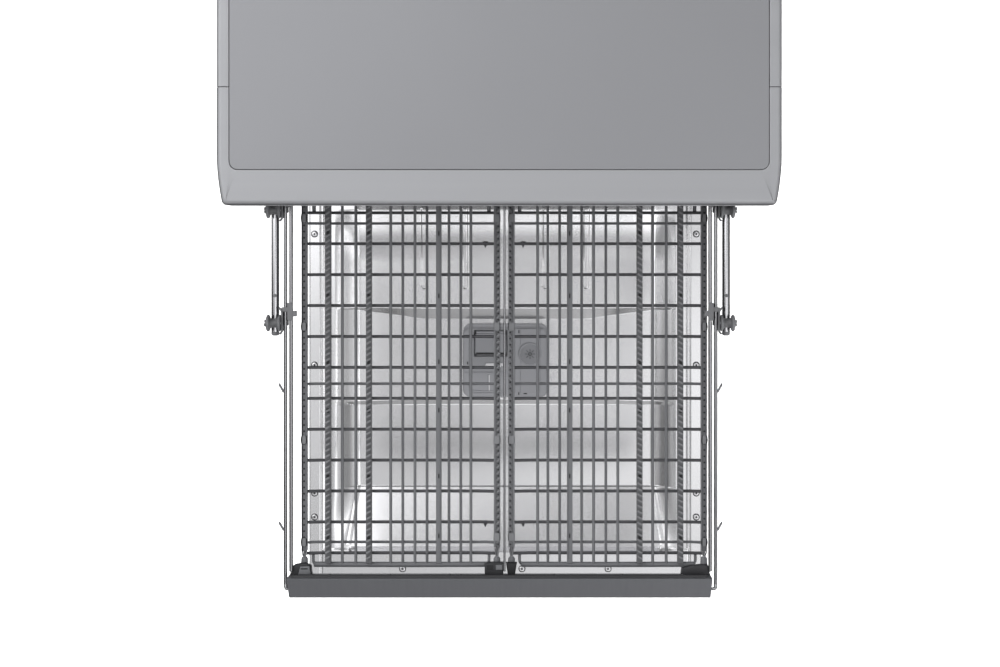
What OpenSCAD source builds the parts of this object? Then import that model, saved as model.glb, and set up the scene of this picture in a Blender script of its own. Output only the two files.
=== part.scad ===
// Freestanding dishwasher, door folded down and top cutlery tray pulled out.
// +Z is up, +Y is towards the back, the origin is on the floor under the middle
// of the open machine. Depths are given as d, measured backwards from the
// worktop's front edge.

/* [Cabinet] */
// Overall width over the side panels
cab_w = 598; // [594:1:600]
// Depth of the worktop from front edge to back
cab_d = 600; // [595:1:602]
// Height of the worktop above the floor
cab_h = 850; // [845:1:856]
// Thickness of the worktop
top_t = 38; // [34:1:40]
// Width of the inset panel in the worktop
inset_w = 570.5; // [560:0.5:572]
// Depth of the solid rim in front of the inset panel
inset_d = 37; // [30:1:42]
// How far the worktop narrows at each front corner
corner_taper = 6.5; // [4:0.5:8]

/* [Tub] */
// Inner half width of the washing tub
tub_hw = 272; // [271.5:0.1:273]
// Depth at which the tub's back wall stands
tub_back_d = 570; // [569:1:574]
// Underside of the tub ceiling above the floor
tub_top = 778; // [777:1:780]
// Thickness of the pressed tub walls
tub_t = 1.2; // [1:0.1:2]
// Thickness of the outer sheet metal
skin_t = 1.2; // [0.8:0.1:1.8]

/* [Door] */
// Height of the hinge axis above the floor
hinge_z = 150; // [149:0.5:151]
// Depth of the hinge axis behind the worktop edge
hinge_d = 48; // [47:0.5:49]
// Length of the door from hinge axis to its top edge
door_len = 614; // [612:1:615]
// Half width of the door
door_hw = 295; // [294:0.5:296]
// Thickness of the door
door_t = 58; // [57:0.5:58]

/* [Cutlery tray] */
// Height of the tray floor's cross wires
tray_z = 718; // [717:0.5:719]
// Top edge of the toothed side strips
strip_top = 726; // [725:0.5:727]
// Number of cross wires in each tray
cross_n = 12; // [10:1:12]
// Spacing of the cross wires
cross_pitch = 35.26; // [35:0.01:35.4]
// Radius of the tray's long wires
wire_r = 1.5; // [1.2:0.1:1.6]
// Radius of the tray's cross wires
cross_r = 1.6; // [1.3:0.1:1.7]
// How far the trays sit to the right of the middle
tray_shift = 4; // [3:0.5:4]
// Half length of the pull bar
bar_hw = 240; // [236:1:242]

/* [Rails] */
// Distance of each telescopic rail from the middle
rail_x = 255.6; // [255.4:0.1:255.8]
// Radius of the rail tube
rail_r = 4.5; // [4.3:0.1:4.5]
// Height of the rail's axis
rail_z = 728; // [727.5:0.1:728]
// Radius of a roller's flanges
roller_r = 9.5; // [8.5:0.1:9.5]

/* [Baskets] */
// Half width of the two baskets
basket_hw = 250; // [248:0.5:250]
// Rim height of the upper basket
upper_rim_z = 640; // [630:1:650]
// Floor height of the upper basket
upper_floor_z = 502; // [498:1:506]
// Rim height of the lower basket
lower_rim_z = 400; // [380:1:410]
// Floor height of the lower basket
lower_floor_z = 224; // [222:1:226]
// Radius of the lower basket's wheels
wheel_r = 20; // [19:0.5:20]

/* [Hidden] */
$fn = 48;
g = 0.02;                               // assembly gap between touching wires
front_y = -(door_len - hinge_d + cab_d) / 2 + door_len - hinge_d;
hw = cab_w / 2;
top_z0 = cab_h - top_t;
door_end_d = hinge_d - door_len;
liner_z = hinge_z + 12;                 // washed face of the open door
door_z0 = liner_z - door_t;             // outer face of the open door
axle_z = rail_z + rail_r + 5 + 0.1;     // axis of the rack's rollers
guide_z = rail_z - rail_r - 5 - 0.1;    // axis of the tub's guide rollers
back_in_d = tub_back_d;

function Y(d) = d + front_y;

module bx(x0, x1, d0, d1, z0, z1)
  translate([x0, Y(d0), z0]) cube([x1 - x0, d1 - d0, z1 - z0]);
module sides(s = [-1, 1]) for (k = s) scale([1, 1, 1]) mirror([k < 0 ? 1 : 0, 0, 0]) children();
module rod_x(x0, x1, d, z, r)
  translate([x0, Y(d), z]) rotate([0, 90, 0]) cylinder(h = x1 - x0, r = r);
module rod_y(x, d0, d1, z, r)
  translate([x, Y(d1), z]) rotate([90, 0, 0]) cylinder(h = d1 - d0, r = r);
module rod_z(x, d, z0, z1, r) translate([x, Y(d), z0]) cylinder(h = z1 - z0, r = r);
module prism_x(x0, x1, pts)
  translate([x0, 0, 0]) rotate([90, 0, 90]) linear_extrude(x1 - x0)
    polygon([for (p = pts) [Y(p[0]), p[1]]]);
module plan(z0, z1, pts)
  translate([0, 0, z0]) linear_extrude(z1 - z0) polygon([for (p = pts) [p[0], Y(p[1])]]);
function arc(cx, cy, r, a0, a1, n) =
  [for (i = [0:n]) let (a = a0 + (a1 - a0) * i / n) [cx + r * cos(a), cy + r * sin(a)]];

// ---- worktop -------------------------------------------------------------
module worktop_panel() color([0.62, 0.63, 0.64])
  plan(top_z0, cab_h, concat(
    arc(-inset_w / 2 + 9, inset_d + 9, 9 - 0.2, 180, 270, 6),
    arc(inset_w / 2 - 9, inset_d + 9, 9 - 0.2, 270, 360, 6),
    [[inset_w / 2 - 0.2, cab_d], [-inset_w / 2 + 0.2, cab_d]]));

module worktop_front_trim() color([0.66, 0.67, 0.68]) {
  xm = hw - corner_taper * (1 - (inset_d - g) / 47.5);
  plan(top_z0, cab_h, concat(
    [[xm, inset_d - g], [-xm, inset_d - g]],
    arc(-hw + corner_taper + 5, 5, 5, 186, 270, 5),
    arc(hw - corner_taper - 5, 5, 5, 270, 354, 5)));
  sides() plan(top_z0, cab_h, [
    [inset_w / 2, inset_d], [xm, inset_d], [hw, 47.5], [hw, 124.3], [inset_w / 2, 124.3]]);
}

module worktop_side_trims() color([0.64, 0.65, 0.66])
  sides() bx(inset_w / 2, hw, 124.7, cab_d, top_z0, cab_h);

// ---- cabinet -------------------------------------------------------------
module side_skin() {
  bx(hw - skin_t, hw, 64, cab_d - 2.1, 40, top_z0 - 0.1);
  bx(282, hw - skin_t - g, 64, 64 + skin_t, 160, top_z0 - 0.1);
}
module side_panel_left() color([0.74, 0.75, 0.76]) sides([-1]) side_skin();
module side_panel_right() color([0.74, 0.75, 0.76]) sides([1]) side_skin();

module back_panel() color([0.6, 0.61, 0.62])
  bx(-hw, hw, cab_d - skin_t, cab_d, 160, top_z0 - 0.1);

module base_tray() color([0.16, 0.16, 0.17]) {
  bx(-270, 270, 90 + g, 590, 42, 46);
  sides() bx(267, 270, 92, 590, 46 + g, 118);
  bx(-266.9, 266.9, 92, 95, 46 + g, 150);
}

module kick_plate() color([0.35, 0.36, 0.37]) {
  bx(-290, 290, 84, 86, 16, 120);
  bx(-290, 290, 86 + g, 90, 16, 20);
}

module levelling_feet() color([0.12, 0.12, 0.13])
  for (x = [-235, 235], d = [115, 560]) {
    rod_z(x, d, 0, 9, 19);
    rod_z(x, d, 9 + g, 42 - g, 6);
  }

module control_fascia() color([0.2, 0.2, 0.21]) {
  difference() {
    bx(-door_hw, door_hw, 2, 5, 766, top_z0 - 0.1);
    rod_y(-262, 0, 7, 789, 8.2);
    rod_y(262, 0, 7, 789, 8.2);
  }
  bx(-door_hw, door_hw, 5 + g, 62, 766, 768);
  sides() bx(door_hw - 3, door_hw, 5 + g, 62, 768 + g, top_z0 - 0.1);
}
module push_button(x) {
  rod_y(x, 0.8, 12, 789, 7.9);
}
module power_button() color([0.8, 0.81, 0.82]) push_button(-262);
module start_button() color([0.8, 0.81, 0.82]) push_button(262);

// ---- tub -----------------------------------------------------------------
module tub_wrap() color([0.8, 0.8, 0.8]) {
  sides() bx(tub_hw, tub_hw + tub_t, 72.5, back_in_d, 166, tub_top - g);
  bx(-tub_hw - tub_t, tub_hw + tub_t, 66, back_in_d, tub_top, tub_top + tub_t);
  bx(-280, 280, 70.4, 72.4, 761.1, tub_top - g);
}
module tub_back() color([0.78, 0.78, 0.79])
  bx(-tub_hw - tub_t, tub_hw + tub_t, back_in_d + g, back_in_d + g + tub_t, 166, tub_top + tub_t);

module tub_floor() color([0.76, 0.76, 0.77]) {
  bx(-tub_hw - tub_t, tub_hw + tub_t, 74, 194, 163.5, 165);
  bx(-tub_hw - tub_t, tub_hw + tub_t, 406, back_in_d, 163.5, 165);
  sides() bx(100, tub_hw + tub_t, 194 + g, 406 - g, 163.5, 165);
}
module tub_gasket() color([0.1, 0.1, 0.1]) {
  sides() bx(270.5, 279.5, 62.5, 71.5, 166, 752 - g);
  bx(-279.5, 279.5, 62.5, 71.5, 752, 761);
}
module filter_plate() color([0.7, 0.71, 0.72])
  difference() {
    bx(-99.9, 99.9, 194.1, 405.9, 162, 164.5);
    rod_z(0, 255, 150, 170, 33);
    rod_z(0, 335, 150, 170, 17);
  }
module filter_cup() color([0.25, 0.35, 0.4]) {
  difference() {
    rod_z(0, 255, 118, 170, 31);
    rod_z(0, 255, 121, 171, 28.5);
  }
  bx(-3, 3, 225, 285, 160, 168);
}
module sump() color([0.18, 0.18, 0.19]) {
  difference() {
    rod_z(0, 300, 100, 161.9, 82);
    rod_z(0, 300, 104, 163, 78);
  }
  rod_z(0, 335, 104, 183.5, 16);
  rod_z(0, 335, 183, 203.4, 8);
  rod_z(0, 335, 203.4, 208, 13);
}
module lower_spray_arm() color([0.72, 0.73, 0.74])
  difference() {
    union() {
      bx(-200, 200, 321, 349, 187, 198);
      sides() rod_z(200, 335, 187, 198, 14);
      rod_z(0, 335, 184, 203, 24);
    }
    rod_z(0, 335, 180, 210, 8.05);
  }
module circulation_pump() color([0.3, 0.31, 0.33]) {
  rod_x(-62, 62, 480, 106, 48);
  rod_x(62 + g, 84, 480, 106, 30);
}
module drain_pump() color([0.85, 0.85, 0.83]) rod_x(90, 168, 300, 100, 27);
module flow_heater() color([0.6, 0.6, 0.62])
  difference() {
    rod_z(-165, 300, 66, 132, 44);
    rod_z(-165, 300, 60, 140, 20);
  }
module inlet_valve() color([0.9, 0.9, 0.88]) {
  bx(182, 222, 530, 568, 68, 112);
  rod_y(202, 568 + g, cab_d - 0.5, 90, 13.2);
}
module drain_outlet() color([0.2, 0.2, 0.22]) {
  bx(-222, -182, 540, 568, 70, 110);
  rod_y(-202, 568 + g, cab_d - 0.5, 90, 9.5);
}
module feed_pipe() color([0.2, 0.2, 0.21]) {
  bx(-30, 30, 555, back_in_d - g, 165 + g, 763.9);
  bx(-20, 20, 305, back_in_d - g, 764, tub_top - g);
  rod_z(0, 320, 751.6, 764 - g, 5);
  rod_z(0, 320, 749.2, 751.6 - g, 9);
}
module top_spray_arm() color([0.72, 0.73, 0.74])
  difference() {
    union() {
      bx(-140, 140, 309, 331, 754, 761);
      sides() rod_z(140, 320, 754, 761, 11);
      rod_z(0, 320, 752, 763, 15);
    }
    rod_z(0, 320, 745, 770, 5.05);
  }
module upper_rails() color([0.8, 0.81, 0.82])
  sides() bx(266.2, tub_hw - g, 82, 550, 606, 624);

// ---- hinge hardware ------------------------------------------------------
module hinge_brackets() color([0.5, 0.51, 0.52])
  sides() {
    bx(286, 289, hinge_d, 112, 128, 155);
    rod_x(286, 289, hinge_d, hinge_z, 8);
    rod_x(279, 286.5, hinge_d, hinge_z, 4);
  }
module hinge_arms() color([0.55, 0.56, 0.57])
  sides() difference() {
    union() {
      rod_x(280, 284, hinge_d, hinge_z, 8.5);
      bx(280, 284, hinge_d - 92, hinge_d, hinge_z - 8.5, hinge_z + 8);
    }
    rod_x(278, 288, hinge_d, hinge_z, 4.05);
  }
module door_springs() color([0.45, 0.45, 0.46])
  sides() rod_y(283, 130, 280, 84, 8);

// ---- door, modelled folded down -----------------------------------------
module door_outer_panel() color([0.68, 0.69, 0.7]) {
  bx(-door_hw, door_hw, door_end_d, hinge_d - 2, door_z0, door_z0 + skin_t);
  sides() bx(door_hw - 1.6, door_hw, door_end_d, hinge_d - 12, door_z0 + skin_t + g, liner_z - 0.4);
  bx(-door_hw + 1.7, door_hw - 1.7, door_end_d, door_end_d + 1.6, door_z0 + skin_t + g, liner_z - 0.4);
}
module door_liner() color([0.82, 0.82, 0.82]) {
  // rim with a washed pan pressed into it
  sides() bx(262, door_hw - 1.7, door_end_d + 1.7, hinge_d - 12, liner_z - 1.2, liner_z);
  bx(-262 + g, 262 - g, door_end_d + 1.7, -538, liner_z - 1.2, liner_z);
  bx(-262 + g, 262 - g, 22, hinge_d - 12, liner_z - 1.2, liner_z);
  sides() bx(260.8, 262 - g, -538 + g, 22 - g, liner_z - 12.2, liner_z);
  bx(-260.8 + g, 260.8 - g, -538 + g, -536.8, liner_z - 12.2, liner_z);
  bx(-260.8 + g, 260.8 - g, 20.8, 22 - g, liner_z - 12.2, liner_z);
  bx(-260.8 + g, 260.8 - g, -536.8 + g, 20.8 - g, liner_z - 12.2, liner_z - 11);
}
module door_handle() color([0.7, 0.71, 0.72]) {
  rod_x(-230, 230, -512, door_z0 - 34, 8);
  sides() rod_z(200, -512, door_z0 - 26 + g, door_z0 - g, 6);
}
module dispenser_housing() color([0.45, 0.46, 0.48])
  difference() {
    bx(-64, 64, -271, -161, liner_z - 11 + g, liner_z + 1);
    bx(-47, 3, -210, -170, liner_z - 7, liner_z + 5);
    rod_z(37, -206, liner_z - 7, liner_z + 5, 19);
  }
module detergent_lid() color([0.4, 0.41, 0.43]) {
  bx(-45.5, 1.5, -207, -173, liner_z - 2.5, liner_z + 2);
  rod_x(-45.5, 1.5, -173, liner_z - 0.25, 2.25);
}
module rinse_cap() color([0.42, 0.43, 0.45]) {
  rod_z(37, -206, liner_z - 6.5, liner_z + 2, 18.6);
  bx(35, 39, -222, -190, liner_z + 2 + g, liner_z + 4);
}
module liner_screws() color([0.7, 0.7, 0.7]) {
  for (d = [-25.7, -222.6, -415, -451]) sides()
    rod_z(286.8, d, liner_z + g, liner_z + 1.8, 5.2);
  for (x = [-154.5, 24.9, 154.3]) rod_z(x, -528.8, liner_z + g, liner_z + 1.8, 4.6);
}

// ---- telescopic rails and their rollers -----------------------------------
module rail() {
  rod_y(rail_x, -141, 269, rail_z, rail_r);
  rod_y(rail_x, -145, -141 - g, rail_z, rail_r);
}
module rail_left() color([0.85, 0.85, 0.86]) sides([-1]) rail();
module rail_right() color([0.85, 0.85, 0.86]) sides([1]) rail();

module spool(d, z)
  difference() {
    union() {
      rod_x(248, 250.8, d, z, roller_r);
      rod_x(250.8, 260.4, d, z, 5);
      rod_x(260.4, 265.2, d, z, roller_r);
    }
    rod_x(240, 270, d, z, 2.55);
  }
module guide_rollers_front() color([0.3, 0.3, 0.31]) sides() spool(125, guide_z);
module guide_rollers_rear() color([0.3, 0.3, 0.31]) sides() spool(255, guide_z);
module rack_rollers_front() color([0.33, 0.33, 0.34]) sides() spool(-130.3, axle_z);
module rack_rollers_rear() color([0.33, 0.33, 0.34]) sides() spool(-2.7, axle_z);
module rail_guides() color([0.6, 0.61, 0.62])
  sides() {
    bx(268, tub_hw - g, 110, 270, guide_z - 8, guide_z + 12);
    for (d = [125, 255]) {
      rod_x(247.6, 268 - g, d, guide_z, 2.5);
      rod_x(246.2, 247.6 - g, d, guide_z, 4);
    }
  }
module carriages() color([0.25, 0.25, 0.26])
  sides() for (d = [-130.3, -2.7]) {
    bx(234, 247.4, d - 14, d + 16, 737.4, 741.5);
    bx(245.4, 247.4, d - 14, d + 16, 727, 737.4 - g);
    rod_x(247.4 + g, 265.4, d, axle_z, 2.5);
    rod_x(265.4 + g, 266.8, d, axle_z, 4);
    rod_x(234, 245.4 - g, d + 8, 730.8, 1.9);
  }

// ---- cutlery tray ----------------------------------------------------------
cross_d = [for (i = [0:cross_n - 1]) -5.5 - cross_pitch * i];
long_o = [38, 49.6, 63, 88, 101.7, 115.6, 129.3, 169, 184.4];
long_z = tray_z + cross_r + wire_r + g;
module tray() translate([tray_shift, 0, 0]) {
  for (d = cross_d) rod_x(12.1 + g, 224 - g, d, tray_z, cross_r);
  for (o = long_o) rod_y(o, -403.08, 6, long_z, wire_r);
  rod_y(74.5, -403.08, 6, long_z + 0.7, 2.2);
  for (d = [-17.6, -200.8, -381.7]) rod_x(20, 214, d, tray_z - cross_r - 2.4 - g, 2.4);
  rod_x(18, 217, -406, long_z - 1, 2.9);
  rod_x(18, 217, 8.8, long_z + 1, 2.6);
}
module tray_left() color([0.36, 0.36, 0.37])
  mirror([1, 0, 0]) translate([-2 * tray_shift, 0, 0]) tray();
module tray_right() color([0.36, 0.36, 0.37]) tray();
module both_trays() {
  children();
  translate([2 * tray_shift, 0, 0]) mirror([1, 0, 0]) children();
}
module tray_combs() color([0.3, 0.3, 0.31]) both_trays()
  for (o = [153.7, 200]) bx(tray_shift + o - 3.3, tray_shift + o + 3.3, -403, 5, tray_z + cross_r + g, 733);
module side_strips() color([0.34, 0.34, 0.35]) both_trays() {
  bx(tray_shift + 224, tray_shift + 230.4, -391, 10, 715, strip_top);
  bx(tray_shift + 4.4, tray_shift + 12.1, -386, 10, 715, strip_top);
}
module rack_rods() color([0.7, 0.7, 0.71]) {
  sides() {
    rod_y(243, -430, 20, 735, 2.1);
    rod_y(236.7, -411.3, 20, 735, 2.1);
  }
  rod_y(tray_shift + 0.4, -411.3, 15.5, 735, 1.2);
  rod_x(-245, 245, 23, 735, 2.8);
}
module rack_handle() color([0.42, 0.43, 0.44]) {
  prism_x(-bar_hw, bar_hw - 2, [[-416.4, 748], [-439.6, 731], [-441, 728.5], [-439, 727], [-419.4, 741]]);
  prism_x(-bar_hw, bar_hw - 2, [[-411.4, 748], [-416.4 + g, 748], [-416.4 + g, 722], [-411.4, 722]]);
}
module handle_sockets() color([0.08, 0.08, 0.09]) {
  sides() bx(214, 238, -411.3, -404.6, 723.3, 732.7);
  bx(-16, 3, -411.3, -404.6, 723.3, 732.7);
  bx(6, 20, -411.3, -404.6, 723.3, 732.7);
  for (o = [-227.2, -8.3, 8.3, 227.2]) {
    rod_y(tray_shift + o, -404.6 + g, -397, 722.5, 3.7);
    rod_y(tray_shift + o, -397 + g, abs(o) > 100 ? -391 - g : -386 - g, 722.5, 1.5);
  }
}

// ---- baskets ---------------------------------------------------------------
// A ring of four wires that meet without overlap
module ring(w, d0, d1, z, r) {
  sides() rod_y(w, d0, d1, z, r);
  rod_x(-w + r + g, w - r - g, d0 + r, z, r);
  rod_x(-w + r + g, w - r - g, d1 - r, z, r);
}
module wire_basket(w, d0, d1, zf, zr, vn, fn) {
  ring(w, d0, d1, zf, 3);
  ring(w, d0, d1, (zf + zr) / 2, 3);
  ring(w, d0, d1, zr, 3);
  for (i = [0:vn - 1]) {
    sides() rod_z(w - 5 - g, d0 + 22 + (d1 - d0 - 44) * i / (vn - 1), zf - 2.9, zr, 2);
    x = -w + 26 + (2 * w - 52) * i / (vn - 1);
    rod_z(x, d0 + 8 + g, zf - 2.9, zr, 2);
    rod_z(x, d1 - 8 - g, zf - 2.9, zr, 2);
  }
  for (i = [0:fn - 1]) {
    rod_y(-w + 36 + (2 * w - 72) * i / (fn - 1), d0, d1, zf - 5 - g, 2);
    rod_x(-w, w, d0 + 30 + (d1 - d0 - 60) * i / (fn - 1), zf - 9 - 2 * g, 2);
  }
}
module upper_basket() color([0.5, 0.51, 0.53]) {
  wire_basket(basket_hw, 90, 546, upper_floor_z, upper_rim_z, 8, 9);
  // feed stem and retaining nut of the spray arm under the basket
  rod_z(0, 320, 471.8, upper_floor_z - 11.1, 6);
  rod_z(0, 320, 468.5, 471.8 - g, 10);
}
module upper_runners() color([0.75, 0.76, 0.77]) {
  sides() bx(258.5, 265.6, 96, 544, 607, 623);
  sides() for (d = [140, 500]) {
    bx(256.5, 258.5 - g, d - 12, d + 12, 560, 623);
    rod_x(basket_hw + 3 + g, 256.5 - g, d, (upper_floor_z + upper_rim_z) / 2, 2.8);
  }
}
module upper_spray_arm() color([0.72, 0.73, 0.74])
  difference() {
    union() {
      bx(-196, 196, 308, 332, 473, 482);
      sides() rod_z(196, 320, 473, 482, 12);
      rod_z(0, 320, 472, 488, 18);
    }
    rod_z(0, 320, 465, 495, 6.05);
  }
module lower_basket() color([0.5, 0.51, 0.53]) {
  wire_basket(basket_hw, 90, 548, lower_floor_z + 6, lower_rim_z, 8, 9);
  for (d = [330, 440], i = [0:10])
    rod_z(-200 + 40 * i, d, lower_floor_z + 3 + g, lower_floor_z + 76, 1.8);
  sides() for (d = [125, 510]) {
    bx(basket_hw + 3.1, basket_hw + 5.4, d - 10, d + 10, 178, 250);
    rod_x(basket_hw + 5.4 + g, 268.6, d, 165.3 + wheel_r, 4);
  }
}
module folding_tines() color([0.5, 0.51, 0.53]) {
  rod_x(-210, 210, 205, lower_floor_z + 8, 2.2);
  for (i = [0:10]) rod_z(-200 + 40 * i, 205, lower_floor_z + 8, lower_floor_z + 78, 1.8);
}
module wheel_pair(d)
  sides() difference() {
    rod_x(256, 267.4, d, 165.3 + wheel_r, wheel_r);
    rod_x(250, 270, d, 165.3 + wheel_r, 4.05);
  }
module lower_wheels_front() color([0.6, 0.61, 0.62]) wheel_pair(125);
module lower_wheels_rear() color([0.6, 0.61, 0.62]) wheel_pair(510);

worktop_panel();
worktop_front_trim();
worktop_side_trims();
side_panel_left();
side_panel_right();
back_panel();
base_tray();
kick_plate();
levelling_feet();
control_fascia();
tub_wrap();
tub_back();
tub_floor();
tub_gasket();
hinge_brackets();
door_springs();
rail_guides();
feed_pipe();
sump();
circulation_pump();
drain_pump();
flow_heater();
inlet_valve();
drain_outlet();
filter_plate();
upper_rails();
power_button();
start_button();
filter_cup();
lower_spray_arm();
top_spray_arm();
guide_rollers_front();
guide_rollers_rear();
door_outer_panel();
door_liner();
door_handle();
hinge_arms();
dispenser_housing();
liner_screws();
detergent_lid();
rinse_cap();
rail_left();
rail_right();
tray_left();
tray_right();
tray_combs();
side_strips();
rack_rods();
rack_handle();
handle_sockets();
carriages();
rack_rollers_front();
rack_rollers_rear();
upper_basket();
upper_runners();
upper_spray_arm();
lower_basket();
folding_tines();
lower_wheels_front();
lower_wheels_rear();
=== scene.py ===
# Freestanding dishwasher with its door folded down and its cutlery rack pulled out.
import math
import random

import bmesh
import bpy
import numpy as np
from mathutils import Matrix, Vector


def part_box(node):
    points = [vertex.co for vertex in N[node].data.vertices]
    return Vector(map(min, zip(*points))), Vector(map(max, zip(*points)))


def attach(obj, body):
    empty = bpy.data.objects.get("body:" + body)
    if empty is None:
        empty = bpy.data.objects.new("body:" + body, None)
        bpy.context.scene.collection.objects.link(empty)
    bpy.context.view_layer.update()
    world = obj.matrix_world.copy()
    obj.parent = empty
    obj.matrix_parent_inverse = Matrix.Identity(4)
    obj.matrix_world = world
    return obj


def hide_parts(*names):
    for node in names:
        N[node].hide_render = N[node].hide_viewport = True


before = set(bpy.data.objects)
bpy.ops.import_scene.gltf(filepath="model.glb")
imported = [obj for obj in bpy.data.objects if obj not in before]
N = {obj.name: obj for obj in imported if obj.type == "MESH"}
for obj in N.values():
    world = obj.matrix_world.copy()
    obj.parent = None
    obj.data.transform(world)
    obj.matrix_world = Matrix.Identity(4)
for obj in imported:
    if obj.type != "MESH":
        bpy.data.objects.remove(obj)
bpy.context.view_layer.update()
random.seed(7)

# ---------------------------------------------------------------- positions
# Millimetres: x to the right, d behind the worktop's front edge, z up.
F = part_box("worktop_front_trim")[0].y * 1000


def P(x, d, z):
    return Vector((x / 1000.0, (d + F) / 1000.0, z / 1000.0))


def mm(node):
    lo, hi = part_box(node)
    return [lo.x * 1000, lo.y * 1000 - F, lo.z * 1000], [hi.x * 1000, hi.y * 1000 - F, hi.z * 1000]


# ---------------------------------------------------------------- mesh tools
class Mesh:
    """Collects parts of one piece, then makes one object of them."""

    def __init__(self):
        self.v, self.f, self.m = [], [], []

    def add(self, verts, faces, mat=0):
        n = len(self.v)
        self.v.extend(Vector(v) for v in verts)
        self.f.extend(tuple(n + i for i in f) for f in faces)
        self.m.extend([mat] * len(faces))

    def bm(self, bm, mat=0):
        bm.verts.index_update()
        self.add([v.co.copy() for v in bm.verts], [[v.index for v in f.verts] for f in bm.faces], mat)
        bm.free()

    def box(self, x0, x1, d0, d1, z0, z1, r=0.5, seg=2, mat=0, turn=None, at=None):
        bm = bmesh.new()
        bmesh.ops.create_cube(bm, size=1.0)
        a, b = P(x0, d0, z0), P(x1, d1, z1)
        c, s = (a + b) / 2, b - a
        for v in bm.verts:
            v.co = Vector((v.co.x * s.x, v.co.y * s.y, v.co.z * s.z))
        r = min(r / 1000.0, 0.49 * min(s))
        if r > 0:
            bmesh.ops.bevel(bm, geom=list(bm.edges), offset=r, segments=seg, profile=0.5, affect="EDGES", clamp_overlap=True)
        m = Matrix.Translation(c)
        if turn is not None:
            m = m @ turn
        bm.transform(m)
        self.bm(bm, mat)

    def slab(self, pts, z0, z1, r=0.5, seg=2, mat=0, plane="xd"):
        """An outline pts extruded from z0 to z1 with rounded rims. plane 'dz' extrudes along x."""
        bm = bmesh.new()
        if plane == "xd":
            lo = [bm.verts.new(P(x, d, z0)) for x, d in pts]
            hi = [bm.verts.new(P(x, d, z1)) for x, d in pts]
        elif plane == "dz":
            lo = [bm.verts.new(P(z0, d, z)) for d, z in pts]
            hi = [bm.verts.new(P(z1, d, z)) for d, z in pts]
        else:
            lo = [bm.verts.new(P(x, z0, z)) for x, z in pts]
            hi = [bm.verts.new(P(x, z1, z)) for x, z in pts]
        n = len(pts)
        bm.faces.new(lo)
        bm.faces.new(list(reversed(hi)))
        for i in range(n):
            bm.faces.new([lo[(i + 1) % n], lo[i], hi[i], hi[(i + 1) % n]])
        bmesh.ops.recalc_face_normals(bm, faces=list(bm.faces))
        if r > 0:
            rims = [e for e in bm.edges if (e.verts[0] in lo) == (e.verts[1] in lo)]
            bmesh.ops.bevel(bm, geom=rims, offset=r / 1000.0, segments=seg, profile=0.5, affect="EDGES", clamp_overlap=True)
        self.bm(bm, mat)

    def tube(self, pts, r, n=8, mat=0, caps=True, radii=None, closed=False):
        pts = [Vector(p) for p in pts]
        k = len(pts)
        rings = []
        up = None
        for i in range(k):
            if closed:
                t = pts[(i + 1) % k] - pts[i - 1]
            elif i == 0:
                t = pts[1] - pts[0]
            elif i == k - 1:
                t = pts[-1] - pts[-2]
            else:
                t = (pts[i + 1] - pts[i]).normalized() + (pts[i] - pts[i - 1]).normalized()
            t.normalize()
            if up is None:
                up = Vector((0, 0, 1)) if abs(t.z) < 0.9 else Vector((1, 0, 0))
            side = t.cross(up).normalized()
            up = side.cross(t).normalized()
            rr = (radii[i] if radii else r) / 1000.0
            rings.append([pts[i] + (side * math.cos(a) + up * math.sin(a)) * rr
                          for a in (2 * math.pi * (j + 0.5) / n for j in range(n))])
        if caps and not closed:
            for end, q in ((0, 1), (-1, -1)):
                t = (pts[0] - pts[1] if end == 0 else pts[-1] - pts[-2]).normalized()
                rr = (radii[end] if radii else r) / 1000.0
                c = pts[0] if end == 0 else pts[-1]
                ring = [c + t * (0.0) + (p - c) * 0.72 for p in rings[end]]
                rings[end] = [p - t * rr * 0.3 for p in rings[end]]
                if end == 0:
                    rings.insert(0, ring)
                else:
                    rings.append(ring)
        verts = [p for ring in rings for p in ring]
        faces = []
        k2 = len(rings)
        for i in range(k2 if closed else k2 - 1):
            for j in range(n):
                a, b = i * n + j, i * n + (j + 1) % n
                c, e = ((i + 1) % k2) * n + (j + 1) % n, ((i + 1) % k2) * n + j
                faces.append((a, b, c, e))
        if caps and not closed:
            faces.append(tuple(reversed(range(n))))
            faces.append(tuple((k2 - 1) * n + j for j in range(n)))
        self.add(verts, faces, mat)

    def rod(self, a, b, r, n=10, mat=0):
        self.tube([a, b], r, n, mat)

    def lathe(self, at, axis, prof, n=32, mat=0):
        """prof is a list of (along, radius) in mm round an axis through at."""
        ax = {"x": Vector((1, 0, 0)), "d": Vector((0, 1, 0)), "z": Vector((0, 0, 1))}[axis]
        s = {"x": Vector((0, 1, 0)), "d": Vector((1, 0, 0)), "z": Vector((1, 0, 0))}[axis]
        u = ax.cross(s)
        verts, faces = [], []
        rows = []
        for a, r in prof:
            if r <= 1e-6:
                rows.append([len(verts)])
                verts.append(at + ax * a / 1000)
            else:
                rows.append(list(range(len(verts), len(verts) + n)))
                verts.extend(at + ax * a / 1000 + (s * math.cos(t) + u * math.sin(t)) * r / 1000
                             for t in (2 * math.pi * j / n for j in range(n)))
        for p, q in zip(rows, rows[1:]):
            for j in range(n):
                k = (j + 1) % n
                if len(p) == 1 and len(q) == 1:
                    continue
                if len(p) == 1:
                    faces.append((p[0], q[k], q[j]))
                elif len(q) == 1:
                    faces.append((p[j], p[k], q[0]))
                else:
                    faces.append((p[j], p[k], q[k], q[j]))
        for row, flip in ((rows[0], True), (rows[-1], False)):
            if len(row) > 1:
                faces.append(tuple(reversed(row)) if flip else tuple(row))
        self.add(verts, faces, mat)

    def grid(self, rows, mat=0, thick=None):
        """rows of points make one sheet."""
        h, w = len(rows), len(rows[0])
        self.add([p for r in rows for p in r],
                 [(i * w + j, i * w + j + 1, (i + 1) * w + j + 1, (i + 1) * w + j) for i in range(h - 1) for j in range(w - 1)], mat)

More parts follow.
